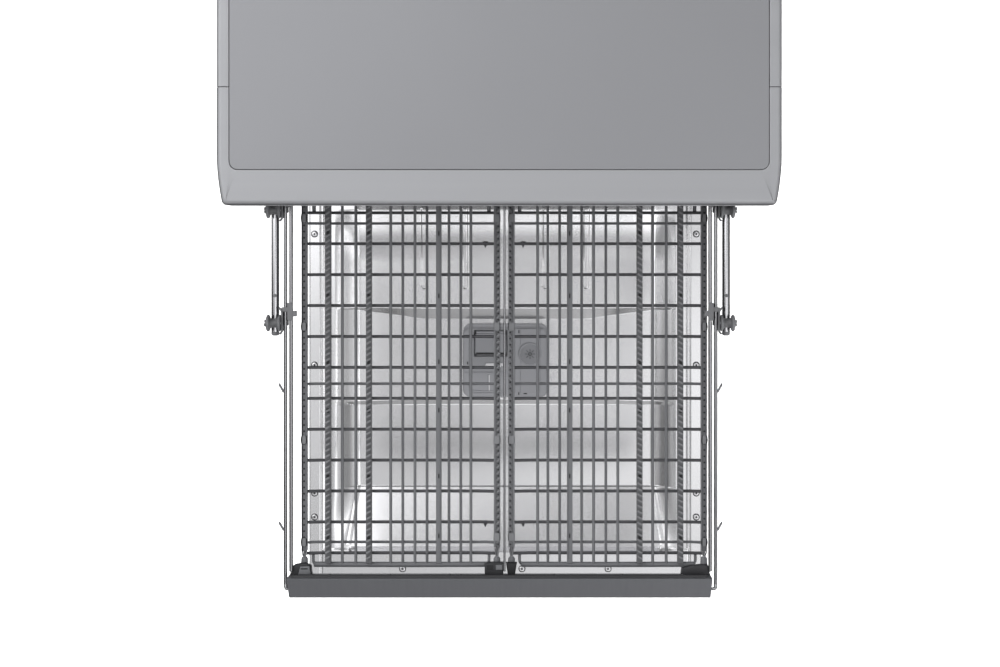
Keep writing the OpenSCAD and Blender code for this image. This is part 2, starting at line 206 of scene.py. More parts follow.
    def make(self, name, mats, body, nodes=(), angle=38, recalc=True, flat=True):
        me = bpy.data.meshes.new(name)
        me.from_pydata([tuple(v) for v in self.v], [], self.f)
        for m in mats:
            me.materials.append(m)
        me.polygons.foreach_set("material_index", self.m)
        me.update()
        bm = bmesh.new()
        bm.from_mesh(me)
        if recalc:
            bmesh.ops.recalc_face_normals(bm, faces=list(bm.faces))
        lim = math.radians(angle)
        for f in bm.faces:
            f.smooth = True
        for e in bm.edges:
            e.smooth = len(e.link_faces) == 2 and e.calc_face_angle(0) < lim
        bm.to_mesh(me)
        bm.free()
        o = bpy.data.objects.new(name, me)
        bpy.context.scene.collection.objects.link(o)
        if flat:
            w = o.modifiers.new("flat_faces", "WEIGHTED_NORMAL")
            w.weight = 100
            w.keep_sharp = True
        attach(o, body)
        if nodes:
            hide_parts(*nodes)
        return o


def arc(cx, cy, r, a0, a1, n):
    return [(cx + r * math.cos(math.radians(a0 + (a1 - a0) * i / n)), cy + r * math.sin(math.radians(a0 + (a1 - a0) * i / n))) for i in range(n + 1)]


def rrect(x0, x1, y0, y1, r, n=5):
    return (arc(x1 - r, y1 - r, r, 0, 90, n) + arc(x0 + r, y1 - r, r, 90, 180, n)
            + arc(x0 + r, y0 + r, r, 180, 270, n) + arc(x1 - r, y0 + r, r, 270, 360, n))


def bend(points, r, n=5):
    """A polyline with its corners rounded to radius r (mm)."""
    pts = [Vector(p) for p in points]
    out = [pts[0]]
    for a, b, c in zip(pts, pts[1:], pts[2:]):
        u, v = (a - b), (c - b)
        k = min(r / 1000.0, u.length * 0.45, v.length * 0.45)
        p, q = b + u.normalized() * k, b + v.normalized() * k
        for i in range(n + 1):
            t = i / n
            out.append(p * (1 - t) ** 2 + b * 2 * t * (1 - t) + q * t * t)
    out.append(pts[-1])
    return out


def smooth(t):
    t = np.clip(t, 0, 1)
    return t * t * (3 - 2 * t)


# ---------------------------------------------------------------- materials
def material(name, color, rough=0.5, metal=0.0, var=0.04, scale=30.0, rvar=0.06, bump=0.05, bscale=900.0,
             stretch=(1, 1, 1), coat=0.0, spec=0.5, aniso=0.0, edge_highlight=0.0):
    m = bpy.data.materials.new(name)
    m.use_nodes = True
    nt = m.node_tree
    b = nt.nodes["Principled BSDF"]
    b.inputs["Metallic"].default_value = metal
    b.inputs["Specular IOR Level"].default_value = spec
    if coat:
        b.inputs["Coat Weight"].default_value = coat
        b.inputs["Coat Roughness"].default_value = 0.12
    if aniso:
        b.inputs["Anisotropic"].default_value = aniso
    tc = nt.nodes.new("ShaderNodeTexCoord")
    mp = nt.nodes.new("ShaderNodeMapping")
    mp.inputs["Scale"].default_value = stretch
    nt.links.new(tc.outputs["Object"], mp.inputs["Vector"])
    n1 = nt.nodes.new("ShaderNodeTexNoise")
    n1.inputs["Scale"].default_value = scale
    n1.inputs["Detail"].default_value = 5.0
    nt.links.new(mp.outputs["Vector"], n1.inputs["Vector"])
    ramp = nt.nodes.new("ShaderNodeValToRGB")
    ramp.color_ramp.elements[0].position = 0.3
    ramp.color_ramp.elements[1].position = 0.7
    lo = [max(0, c * (1 - var)) for c in color] + [1]
    hi = [min(1, c * (1 + var)) for c in color] + [1]
    ramp.color_ramp.elements[0].color = lo
    ramp.color_ramp.elements[1].color = hi
    nt.links.new(n1.outputs["Fac"], ramp.inputs["Fac"])
    out = ramp.outputs["Color"]
    # convex edges, picked out by pointiness, are painted lighter: a painted highlight along the edges
    if edge_highlight:
        geo = nt.nodes.new("ShaderNodeNewGeometry")
        pr = nt.nodes.new("ShaderNodeValToRGB")
        pr.color_ramp.elements[0].position = 0.49
        pr.color_ramp.elements[1].position = 0.56
        nt.links.new(geo.outputs["Pointiness"], pr.inputs["Fac"])
        mx = nt.nodes.new("ShaderNodeMix")
        mx.data_type = "RGBA"
        mx.inputs["B"].default_value = [min(1, c * (1 + edge_highlight)) for c in color] + [1]
        nt.links.new(pr.outputs["Color"], mx.inputs["Factor"])
        nt.links.new(out, mx.inputs["A"])
        out = mx.outputs["Result"]
    nt.links.new(out, b.inputs["Base Color"])
    n2 = nt.nodes.new("ShaderNodeTexNoise")
    n2.inputs["Scale"].default_value = scale * 2.3
    n2.inputs["Detail"].default_value = 4.0
    nt.links.new(mp.outputs["Vector"], n2.inputs["Vector"])
    mr = nt.nodes.new("ShaderNodeMapRange")
    mr.inputs["To Min"].default_value = max(0.02, rough - rvar)
    mr.inputs["To Max"].default_value = min(1.0, rough + rvar)
    nt.links.new(n2.outputs["Fac"], mr.inputs["Value"])
    nt.links.new(mr.outputs["Result"], b.inputs["Roughness"])
    if bump:
        n3 = nt.nodes.new("ShaderNodeTexNoise")
        n3.inputs["Scale"].default_value = bscale
        n3.inputs["Detail"].default_value = 3.0
        nt.links.new(mp.outputs["Vector"], n3.inputs["Vector"])
        bp = nt.nodes.new("ShaderNodeBump")
        bp.inputs["Strength"].default_value = bump
        bp.inputs["Distance"].default_value = 0.0004
        nt.links.new(n3.outputs["Fac"], bp.inputs["Height"])
        nt.links.new(bp.outputs["Normal"], b.inputs["Normal"])
    return m


M = {
    "top": material("worktop_satin", (0.250, 0.253, 0.265), 0.36, 0.62, 0.012, 5, 0.02, 0.02, 1800),
    "edge": material("worktop_edge_satin", (0.315, 0.319, 0.331), 0.38, 0.58, 0.02, 8, 0.03, 0.03, 500, (0.12, 6, 1)),
    # dark grey for the outer faces of the worktop's rounded nose: painted shade for the dark line along the edge
    "under": material("worktop_edge_under", (0.10, 0.102, 0.108), 0.5, 0.4, 0.03, 8, 0.04, 0.03, 600),
    "paint": material("cabinet_paint", (0.42, 0.43, 0.44), 0.38, 0.35, 0.02, 5, 0.03, 0.08, 1400, coat=0.3),
    "galv": material("galvanised", (0.42, 0.43, 0.44), 0.5, 0.8, 0.12, 22, 0.1, 0.05, 300),
    "black": material("black_moulding", (0.018, 0.018, 0.02), 0.5, 0.0, 0.15, 40, 0.08, 0.15, 1500),
    "kick": material("kick_grey", (0.10, 0.10, 0.105), 0.45, 0.2, 0.05, 30, 0.06, 0.1, 900),
    "gloss": material("fascia_gloss", (0.022, 0.022, 0.025), 0.12, 0.0, 0.1, 10, 0.03, 0.0, coat=0.6),
    "tub": material("tub_steel", (0.66, 0.66, 0.67), 0.27, 1.0, 0.03, 8, 0.06, 0.06, 500, (1, 1, 12)),
    "liner": material("liner_steel", (0.80, 0.80, 0.81), 0.17, 0.88, 0.006, 6, 0.015, 0.0),
    "rubber": material("gasket_rubber", (0.02, 0.02, 0.02), 0.75, 0.0, 0.1, 60, 0.08, 0.2, 1800),
    "zinc": material("zinc_plate", (0.40, 0.41, 0.42), 0.38, 0.9, 0.1, 60, 0.1, 0.08, 700),
    "duct": material("grey_duct", (0.10, 0.10, 0.105), 0.5, 0.0, 0.06, 30, 0.06, 0.1, 1100),
    "arm": material("arm_steel", (0.62, 0.63, 0.64), 0.30, 0.9, 0.03, 14, 0.06, 0.03, 500, (1, 12, 1)),
    "white": material("white_moulding", (0.72, 0.72, 0.70), 0.5, 0.0, 0.03, 30, 0.06, 0.08, 1100),
    "motor": material("motor_grey", (0.16, 0.165, 0.17), 0.48, 0.1, 0.08, 40, 0.06, 0.1, 900),
    "filter": material("filter_steel", (0.50, 0.50, 0.51), 0.34, 0.9, 0.06, 60, 0.08, 0.15, 1400),
    "cup": material("filter_cup_plastic", (0.07, 0.09, 0.11), 0.4, 0.0, 0.08, 40, 0.06, 0.1, 1000),
    "button": material("button_silver", (0.55, 0.56, 0.57), 0.28, 0.7, 0.02, 40, 0.04, 0.0),
    "disp": material("dispenser_grey", (0.135, 0.137, 0.145), 0.48, 0.0, 0.05, 60, 0.06, 0.12, 1600, edge_highlight=0.25),
    "lid": material("lid_grey", (0.122, 0.124, 0.132), 0.45, 0.0, 0.05, 60, 0.06, 0.12, 1600, edge_highlight=0.25),
    "latch": material("latch_light", (0.34, 0.34, 0.35), 0.4, 0.0, 0.03, 60, 0.05, 0.08, 1500),
    # near-black: the own colour of print, windows and black walls, and painted shade where it fills holes, bores, slots
    # and seams
    "near_black_and_recess_shade": material("near_black_and_painted_recess_shade", (0.008, 0.008, 0.009), 0.6, 0.0, 0.1, 60, 0.05, 0.05, 1500),
    "screw": material("screw_steel", (0.70, 0.70, 0.71), 0.18, 1.0, 0.05, 80, 0.06, 0.0),
    "chrome": material("rail_chrome", (0.62, 0.62, 0.635), 0.13, 1.0, 0.02, 20, 0.03, 0.0),
    "wire": material("tray_wire_nylon", (0.088, 0.090, 0.095), 0.42, 0.15, 0.10, 120, 0.06, 0.25, 2200, edge_highlight=0.2),
    "wire_dark": material("cross_wire_nylon", (0.043, 0.043, 0.047), 0.42, 0.1, 0.10, 120, 0.06, 0.25, 2200),
    "comb": material("comb_plastic", (0.105, 0.107, 0.112), 0.5, 0.0, 0.08, 100, 0.06, 0.15, 1600, edge_highlight=0.3),
    "comb_dark": material("comb_plastic_dark", (0.070, 0.071, 0.075), 0.5, 0.0, 0.08, 100, 0.06, 0.15, 1600),
    "strip": material("strip_plastic", (0.100, 0.102, 0.108), 0.5, 0.0, 0.08, 100, 0.06, 0.15, 1600),
    "rodsteel": material("rod_bright", (0.36, 0.36, 0.37), 0.18, 1.0, 0.03, 40, 0.05, 0.0),
    "bar": material("pull_bar_grey", (0.098, 0.100, 0.107), 0.42, 0.3, 0.03, 20, 0.04, 0.08, 1400, (14, 1, 1)),
    "basket": material("basket_nylon", (0.20, 0.205, 0.215), 0.42, 0.1, 0.06, 120, 0.06, 0.2, 2200),
    "roller": material("roller_plastic", (0.085, 0.086, 0.09), 0.42, 0.0, 0.08, 100, 0.06, 0.15, 1600, edge_highlight=0.3),
    "wheel": material("wheel_plastic", (0.20, 0.205, 0.21), 0.45, 0.0, 0.05, 80, 0.06, 0.12, 1400),
}

# ---------------------------------------------------------------- camera and light
sc = bpy.context.scene
sc.view_settings.view_transform = "Standard"
cam = bpy.data.objects.new("camera", bpy.data.cameras.new("camera"))
sc.collection.objects.link(cam)
cam.data.sensor_width = 36
cam.data.lens = 55.28
cam.data.shift_x = -0.0199
cam.data.shift_y = -0.0885
cam.location = P(21.8, -42.2, 2470)
cam.rotation_euler = (0, 0, 0)
cam.data.clip_end = 50
sc.camera = cam

world = bpy.data.worlds.new("studio")
sc.world = world
world.use_nodes = True
wn = world.node_tree
bg = wn.nodes["Background"]


def wnode(kind, **inputs):
    n = wn.nodes.new(kind)
    for k, v in inputs.items():
        n.inputs[k.replace("_", " ")].default_value = v
    return n


def wrange(src, f0, f1, t0, t1, kind="SMOOTHSTEP"):
    n = wn.nodes.new("ShaderNodeMapRange")
    n.interpolation_type = kind
    n.inputs["From Min"].default_value = f0
    n.inputs["From Max"].default_value = f1
    n.inputs["To Min"].default_value = t0
    n.inputs["To Max"].default_value = t1
    wn.links.new(src, n.inputs["Value"])
    return n.outputs["Result"]


def wmath(op, a, b):
    n = wn.nodes.new("ShaderNodeMath")
    n.operation = op
    for i, q in enumerate((a, b)):
        if isinstance(q, (int, float)):
            n.inputs[i].default_value = q
        else:
            wn.links.new(q, n.inputs[i])
    return n.outputs[0]


tcw = wn.nodes.new("ShaderNodeTexCoord")
sep = wn.nodes.new("ShaderNodeSeparateXYZ")
wn.links.new(tcw.outputs["Generated"], sep.inputs["Vector"])
wx, wy, wz = sep.outputs["X"], sep.outputs["Y"], sep.outputs["Z"]
front = wrange(wx, -0.11, 0.11, 0.58, 1.08)           # the sky in front of the zenith: brighter to the right
glow = wmath("MULTIPLY", wrange(wx, 0.20, 0.32, 0.0, 1.3), wrange(wx, 0.42, 0.58, 1.0, 0.0))
front = wmath("ADD", front, glow)
front = wmath("MULTIPLY", front, wrange(wx, -0.42, -0.20, 0.62, 1.0))
front = wmath("MULTIPLY", front, wrange(wy, -0.20, -0.13, 0.52, 1.0, "LINEAR"))
glow = wmath("MULTIPLY", wrange(wy, -0.34, -0.255, 1.25, 0.0), wrange(wy, -0.54, -0.44, 0.0, 1.0))
front = wmath("ADD", front, glow)
front = wmath("MULTIPLY", front, wrange(wy, -0.62, -0.46, 0.80, 1.0))
front = wmath("MULTIPLY", front, wrange(wx, 0.50, 0.75, 1.0, 0.55))
back = wrange(wx, -0.20, 0.07, 1.95, 0.60)            # behind it: brighter to the left
mixw = wrange(wy, -0.035, 0.015, 0.0, 1.0)
sky = wmath("ADD", wmath("MULTIPLY", front, wmath("SUBTRACT", 1.0, mixw)), wmath("MULTIPLY", back, mixw))
fall = wn.nodes.new("ShaderNodeValToRGB")
fall.color_ramp.interpolation = "EASE"
wn.links.new(wrange(wz, -1, 1, 0, 1, "LINEAR"), fall.inputs["Fac"])
e = fall.color_ramp.elements
e[0].position, e[0].color = 0.0, (0.10, 0.10, 0.10, 1)
e[1].position, e[1].color = 1.0, (1, 1, 1, 1)
for pos, v in ((0.30, 0.07), (0.47, 0.10), (0.56, 0.34), (0.68, 0.16), (0.80, 0.85), (0.93, 1.0)):
    q = e.new(pos)
    q.color = (v, v, v * 1.01, 1)
total = wmath("MULTIPLY", sky, fall.outputs["Color"])
comb = wn.nodes.new("ShaderNodeCombineColor")
wn.links.new(total, comb.inputs[0])
wn.links.new(total, comb.inputs[1])
wn.links.new(wmath("MULTIPLY", total, 1.012), comb.inputs[2])
wn.links.new(comb.outputs[0], bg.inputs["Color"])
bg.inputs["Strength"].default_value = 1.0


def area(name, loc, target, sx, sy, power, color=(1, 1, 1)):
    l = bpy.data.lights.new(name, "AREA")
    l.shape = "RECTANGLE"
    l.size, l.size_y = sx, sy
    l.energy = power
    l.color = color
    o = bpy.data.objects.new(name, l)
    sc.collection.objects.link(o)
    o.location = loc
    o.rotation_euler = (Vector(target) - Vector(loc)).to_track_quat("-Z", "Y").to_euler()
    o.visible_glossy = False
    return o


area("soft_left", (-2.6, 0.2, 2.6), (0, 0, 0.4), 2.2, 3.0, 70)
area("soft_right", (2.8, -0.3, 2.4), (0, 0, 0.4), 1.8, 2.6, 34)
area("soft_front", (0.0, -3.2, 2.2), (0, -0.2, 0.4), 3.0, 1.6, 34)
area("low_right", (1.2, -1.3, 0.74), (0.1, -0.42, 0.73), 0.5, 0.4, 30)
area("soft_back", (-0.4, 3.0, 3.0), (0, -0.3, 0.2), 3.0, 1.6, 60)

fl = bpy.data.meshes.new("floor")
fl.from_pydata([(-14, -14, -0.0005), (14, -14, -0.0005), (14, 14, -0.0005), (-14, 14, -0.0005)], [], [(0, 1, 2, 3)])
floor = bpy.data.objects.new("floor", fl)
sc.collection.objects.link(floor)
fm = bpy.data.materials.new("studio_floor")
fm.use_nodes = True
fb = fm.node_tree.nodes["Principled BSDF"]
fn = fm.node_tree.nodes.new("ShaderNodeTexNoise")
fn.inputs["Scale"].default_value = 3
fr = fm.node_tree.nodes.new("ShaderNodeValToRGB")
fr.color_ramp.elements[0].color = (0.90, 0.90, 0.90, 1)
fr.color_ramp.elements[1].color = (0.93, 0.93, 0.93, 1)
fm.node_tree.links.new(fn.outputs["Fac"], fr.inputs["Fac"])
fm.node_tree.links.new(fr.outputs["Color"], fb.inputs["Base Color"])
fb.inputs["Roughness"].default_value = 0.8
fb.inputs["Emission Color"].default_value = (1, 1, 1, 1)
fb.inputs["Emission Strength"].default_value = 0.55
fl.materials.append(fm)
floor.visible_glossy = False

# ---------------------------------------------------------------- worktop
lo, hi = mm("worktop_front_trim")
TZ0, TZ1 = lo[2], hi[2]
HW = hi[0]
inset = mm("worktop_panel")
IX, ID = inset[1][0] + 0.2, inset[0][1]


def worktop():
    # rim: an outer path matched point for point to an inner one, swept by a rounded nose
    end = hi[1]
    outer, inner = [], []
    for i in range(5):
        t = i / 4
        outer.append((-HW, end + (50 - end) * t))
        inner.append((-IX, end + (46 - end) * t))
    k = 14
    for i in range(1, k + 1):
        t = i / k
        s = t * t * (3 - 2 * t) * 0.35 + t * 0.65
        outer.append((-HW + 5.0 * (t ** 1.7), 50 + (5 - 50) * t))
        inner.append((-IX + 0.0, 46))
    ca = arc(-HW + 5.3 + 5, 5, 5, 184, 268, 8)
    ci = arc(-IX + 9, ID + 9, 9, 180, 270, 8)
    outer += ca
    inner += ci
    outer.append((-150, 0)); inner.append((-150, ID))
    outer.append((0, 0)); inner.append((0, ID))
    left = list(zip(outer, inner))
    right = [((-a[0], a[1]), (-b[0], b[1])) for a, b in reversed(left[:-1])]
    path = left + right
    r = 5.5
    m = Mesh()
    n = len(path)

    def normal(i):
        a = Vector(path[max(0, i - 1)][0]); b = Vector(path[min(n - 1, i + 1)][0])
        t = (b - a).normalized()
        return Vector((-t.y, t.x))
    prof = [(0.6, TZ0), (0.0, TZ0 + 1.0), (0.0, TZ0 + 8), (0.0, TZ1 - r)]
    for i in range(1, 7):
        a = math.radians(90 * i / 6)
        prof.append((r - r * math.cos(a), TZ1 - r + r * math.sin(a)))
    rows = []
    for i, (o, q) in enumerate(path):
        nn = normal(i)
        row = [P(q[0], q[1], TZ0 + 1)]
        for off, z in prof:
            row.append(P(o[0] + nn.x * off, o[1] + nn.y * off, z))
        to = Vector(q) - (Vector(o) + nn * r)
        inn = to.normalized() if to.length > 1e-6 else nn
        for back, z in ((0.9, TZ1), (0.35, TZ1 - 0.25), (0.12, TZ1 - 0.9), (0.12, TZ1 - 3)):
            row.append(P(q[0] - inn.x * back, q[1] - inn.y * back, z))
        rows.append(row)
    m.grid(rows)
    cols = len(rows[0]) - 1
    # the outer 45 degrees of the rounded nose take the second, dark grey material: painted shade for the dark line
    # along the edge
    for k in range(len(m.f)):
        if k % cols in (4, 5, 6):
            m.m[k] = 1
    # close the two arm ends
    for row in (rows[0], rows[-1]):
        m.add(row, [tuple(range(len(row)))])
    m.make("worktop_rim", [M["edge"], M["under"]], "cabinet", ["worktop_front_trim"], angle=30)

    m = Mesh()
    lo2, hi2 = mm("worktop_side_trims")
    for s in (-1, 1):
        xs = sorted((s * (IX + 0.15), s * HW))
        prof = [(IX + 0.15, TZ0), (HW - 0.6, TZ0), (HW, TZ0 + 1), (HW, TZ1 - 5)]
        for i in range(1, 7):
            a = math.radians(90 * i / 6)
            prof.append((HW - 5 + 5 * math.cos(a), TZ1 - 5 + 5 * math.sin(a)))
        prof += [(IX + 1.0, TZ1), (IX + 0.4, TZ1 - 0.25), (IX + 0.15, TZ1 - 0.9)]
        pts = [(s * x, z) for x, z in prof]
        m.slab(pts, lo2[1] + 0.3, hi2[1], r=0.5, seg=2, plane="xz")
    m.make("worktop_side_rims", [M["edge"]], "cabinet", ["worktop_side_trims"], angle=30)

    m = Mesh()
    pts = (arc(-IX + 9, ID + 9, 8.75, 180, 270, 8) + arc(IX - 9, ID + 9, 8.75, 270, 360, 8)
           + [(IX - 0.25, inset[1][1]), (-IX + 0.25, inset[1][1])])
    m.slab(pts, TZ0, TZ1 - 0.15, r=0.7, seg=3)
    m.make("worktop_board", [M["top"]], "cabinet", ["worktop_panel"], angle=30)


worktop()

# ---------------------------------------------------------------- door liner
dl, dh = mm("door_liner")
LZ = dh[2]
hinge_d = 48.0


def liner_height(X, D):
    """Height of the pressed liner over its own rim plane, mm. X from the middle, D depth."""
    ax = np.abs(X)

    def ramp(t, f):
        # straight ramp from 0 to 1 with a small fillet f at both ends
        t = np.asarray(t, float)
        k = 1.0 / (1.0 - f)
        low = np.where(t < f, k * t * t / (2 * f), k * (t - f / 2))
        u = 1 - t
        high = 1 - np.where(u < f, k * u * u / (2 * f), k * (u - f / 2))
        return np.where(t <= 0, 0, np.where(t >= 1, 1, np.where(t < 0.5, low, high)))

    # three levels of the pan, stepping down towards the far end by two bowed steps
    top1, bottom1 = -136.8, -155.2 + 15.4 * np.clip((ax - 122) / 102.0, 0, 1)
    pan = -9.0 - 6.6 * ramp((top1 - D) / (top1 - bottom1), 0.10)
    top2, bottom2 = -274.6 - 3.0 * smooth((ax - 110) / 110.0), -284.0 - 0.5 * smooth((ax - 110) / 110.0)
    pan = pan - 2.9 * ramp((top2 - D) / (top2 - bottom2), 0.12)
    # the pan curls up towards the hinge end
    q = np.clip((D + 68.0) / 57.0, 0, 1)
    pan = pan + 5.6 * q * q + 0.198 * np.clip(D + 11.0, 0, 22)
    # the long slope that rises to the rim at the far end
    ramp_t = np.clip((-408.2 - D) / 88.0, 0, 1)
    pan = np.where(D < -406.7, -18.5 + 1.6 * smooth((-406.7 - D) / 1.6) + 13.6 * ramp_t, pan)
    half = np.where(D < -406.7, 222 - (D + 406.7) * 0.15, 222.0)
    # curved sides
    side = 1 - smooth((ax - half) / 36.0)
    near = 1 - smooth((D - 22) / 14.0)
    z = pan * side * near
    # rim at the far end, with a groove behind the crest
    far = smooth((-497.0 - D) / 7.0)
    z = z * (1 - far)
    z = z - 7.5 * np.clip(1 - np.abs(D + 500.0) / 4.2, 0, 1) * (1 - smooth((ax - 226) / 9.0))
    # the pressed edge along both sides of the pan
    z = z + 0.8 * np.exp(-((ax - half - 1.0) / 1.8) ** 2) * np.where((D < 16) & (D > -494), 1, 0)
    # four narrow pressed ribs near the hinge
    for c in (-122.0, -60.8, 60.8, 122.0):
        qx = np.abs(X - c)
        qd = np.maximum(np.abs(D + 46.0) - 58.0, 0)
        dist = np.hypot(qx, qd)
        z = z + 1.5 * (1 - smooth((dist - 3.0) / 1.9))
    # groove and bright fold beside the flange
    z = z - 1.6 * np.exp(-((ax - 276.5) / 1.1) ** 2) * np.where(D > -560, 1, 0)
    z = z - 1.2 * smooth((275.5 - ax) / 4.0) * (1 - smooth((266 - ax) / 10.0)) * np.where(D > -500, 1, 0)
    return z


def door_liner():
    X = np.unique(np.concatenate([
        np.arange(-292, 292.1, 4.0), np.arange(-280, -218, 1.0), np.arange(218, 280.1, 1.0),
        np.arange(-130, -53, 1.0), np.arange(53, 130.1, 1.0), np.array([-293.2, 293.2])]).round(3))
    D = np.unique(np.concatenate([
        np.arange(dl[1], 36.1, 4.0), np.arange(-160, -128, 0.8), np.arange(-292, -270, 0.8),
        np.arange(-412, -403, 0.8), np.arange(-507, -492, 0.7), np.arange(-70, 36, 1.5), np.arange(-112, -98, 1.0), np.array([dl[1], 36.0])]).round(3))
    D = D[(D >= dl[1]) & (D <= 36.0)]
    gx, gd = np.meshgrid(X, D)
    z = LZ + liner_height(gx, gd)
    m = Mesh()
    rows = [[P(float(X[j]), float(D[i]), float(z[i, j])) for j in range(len(X))] for i in range(len(D))]
    # fold the rim down so the sheet has an edge
    m.grid(rows)
    for side in (0, -1):
        edge = [r[side] for r in rows]
        m.grid([edge, [p + Vector((0, 0, -0.003)) for p in edge]])
    for r in (rows[0], rows[-1]):
        m.grid([r, [p + Vector((0, 0, -0.003)) for p in r]])
    m.make("door_liner_pressed", [M["liner"]], "door", ["door_liner"], angle=60, recalc=True, flat=False)


door_liner()


def door_shell():
    lo, hi = mm("door_outer_panel")
    m = Mesh()
    m.box(lo[0], hi[0], lo[1], hi[1] , lo[2], lo[2] + 1.6, r=0.7, seg=2)
    for s in (-1, 1):
        x = sorted((s * hi[0], s * (hi[0] - 1.4)))
        m.box(x[0], x[1], lo[1], hinge_d - 12, lo[2] + 0.2, LZ - 0.4, r=0.5, seg=2)
    m.box(lo[0] + 0.2, hi[0] - 0.2, lo[1], lo[1] + 1.4, lo[2] + 0.2, LZ - 0.4, r=0.5, seg=2)
    m.make("door_skin", [M["paint"]], "door", ["door_outer_panel"])
    lo, hi = mm("door_handle")
    m = Mesh()
    zc, dc = lo[2] + 8, (lo[1] + hi[1]) / 2
    m.tube([P(lo[0], dc, zc), P(lo[0] + 2, dc, zc), P(hi[0] - 2, dc, zc), P(hi[0], dc, zc)], 8, 28, radii=[7.2, 8, 8, 7.2])
    for s in (-1, 1):
        m.lathe(P(s * 200, dc, 0), "z", [(zc + 4, 5.2), (zc + 10, 5.4), (hi[2] - 4, 6.4), (hi[2] - 1, 8.6), (hi[2], 8.8)], 28)
    m.make("door_pull", [M["bar"]], "door", ["door_handle"])


door_shell()


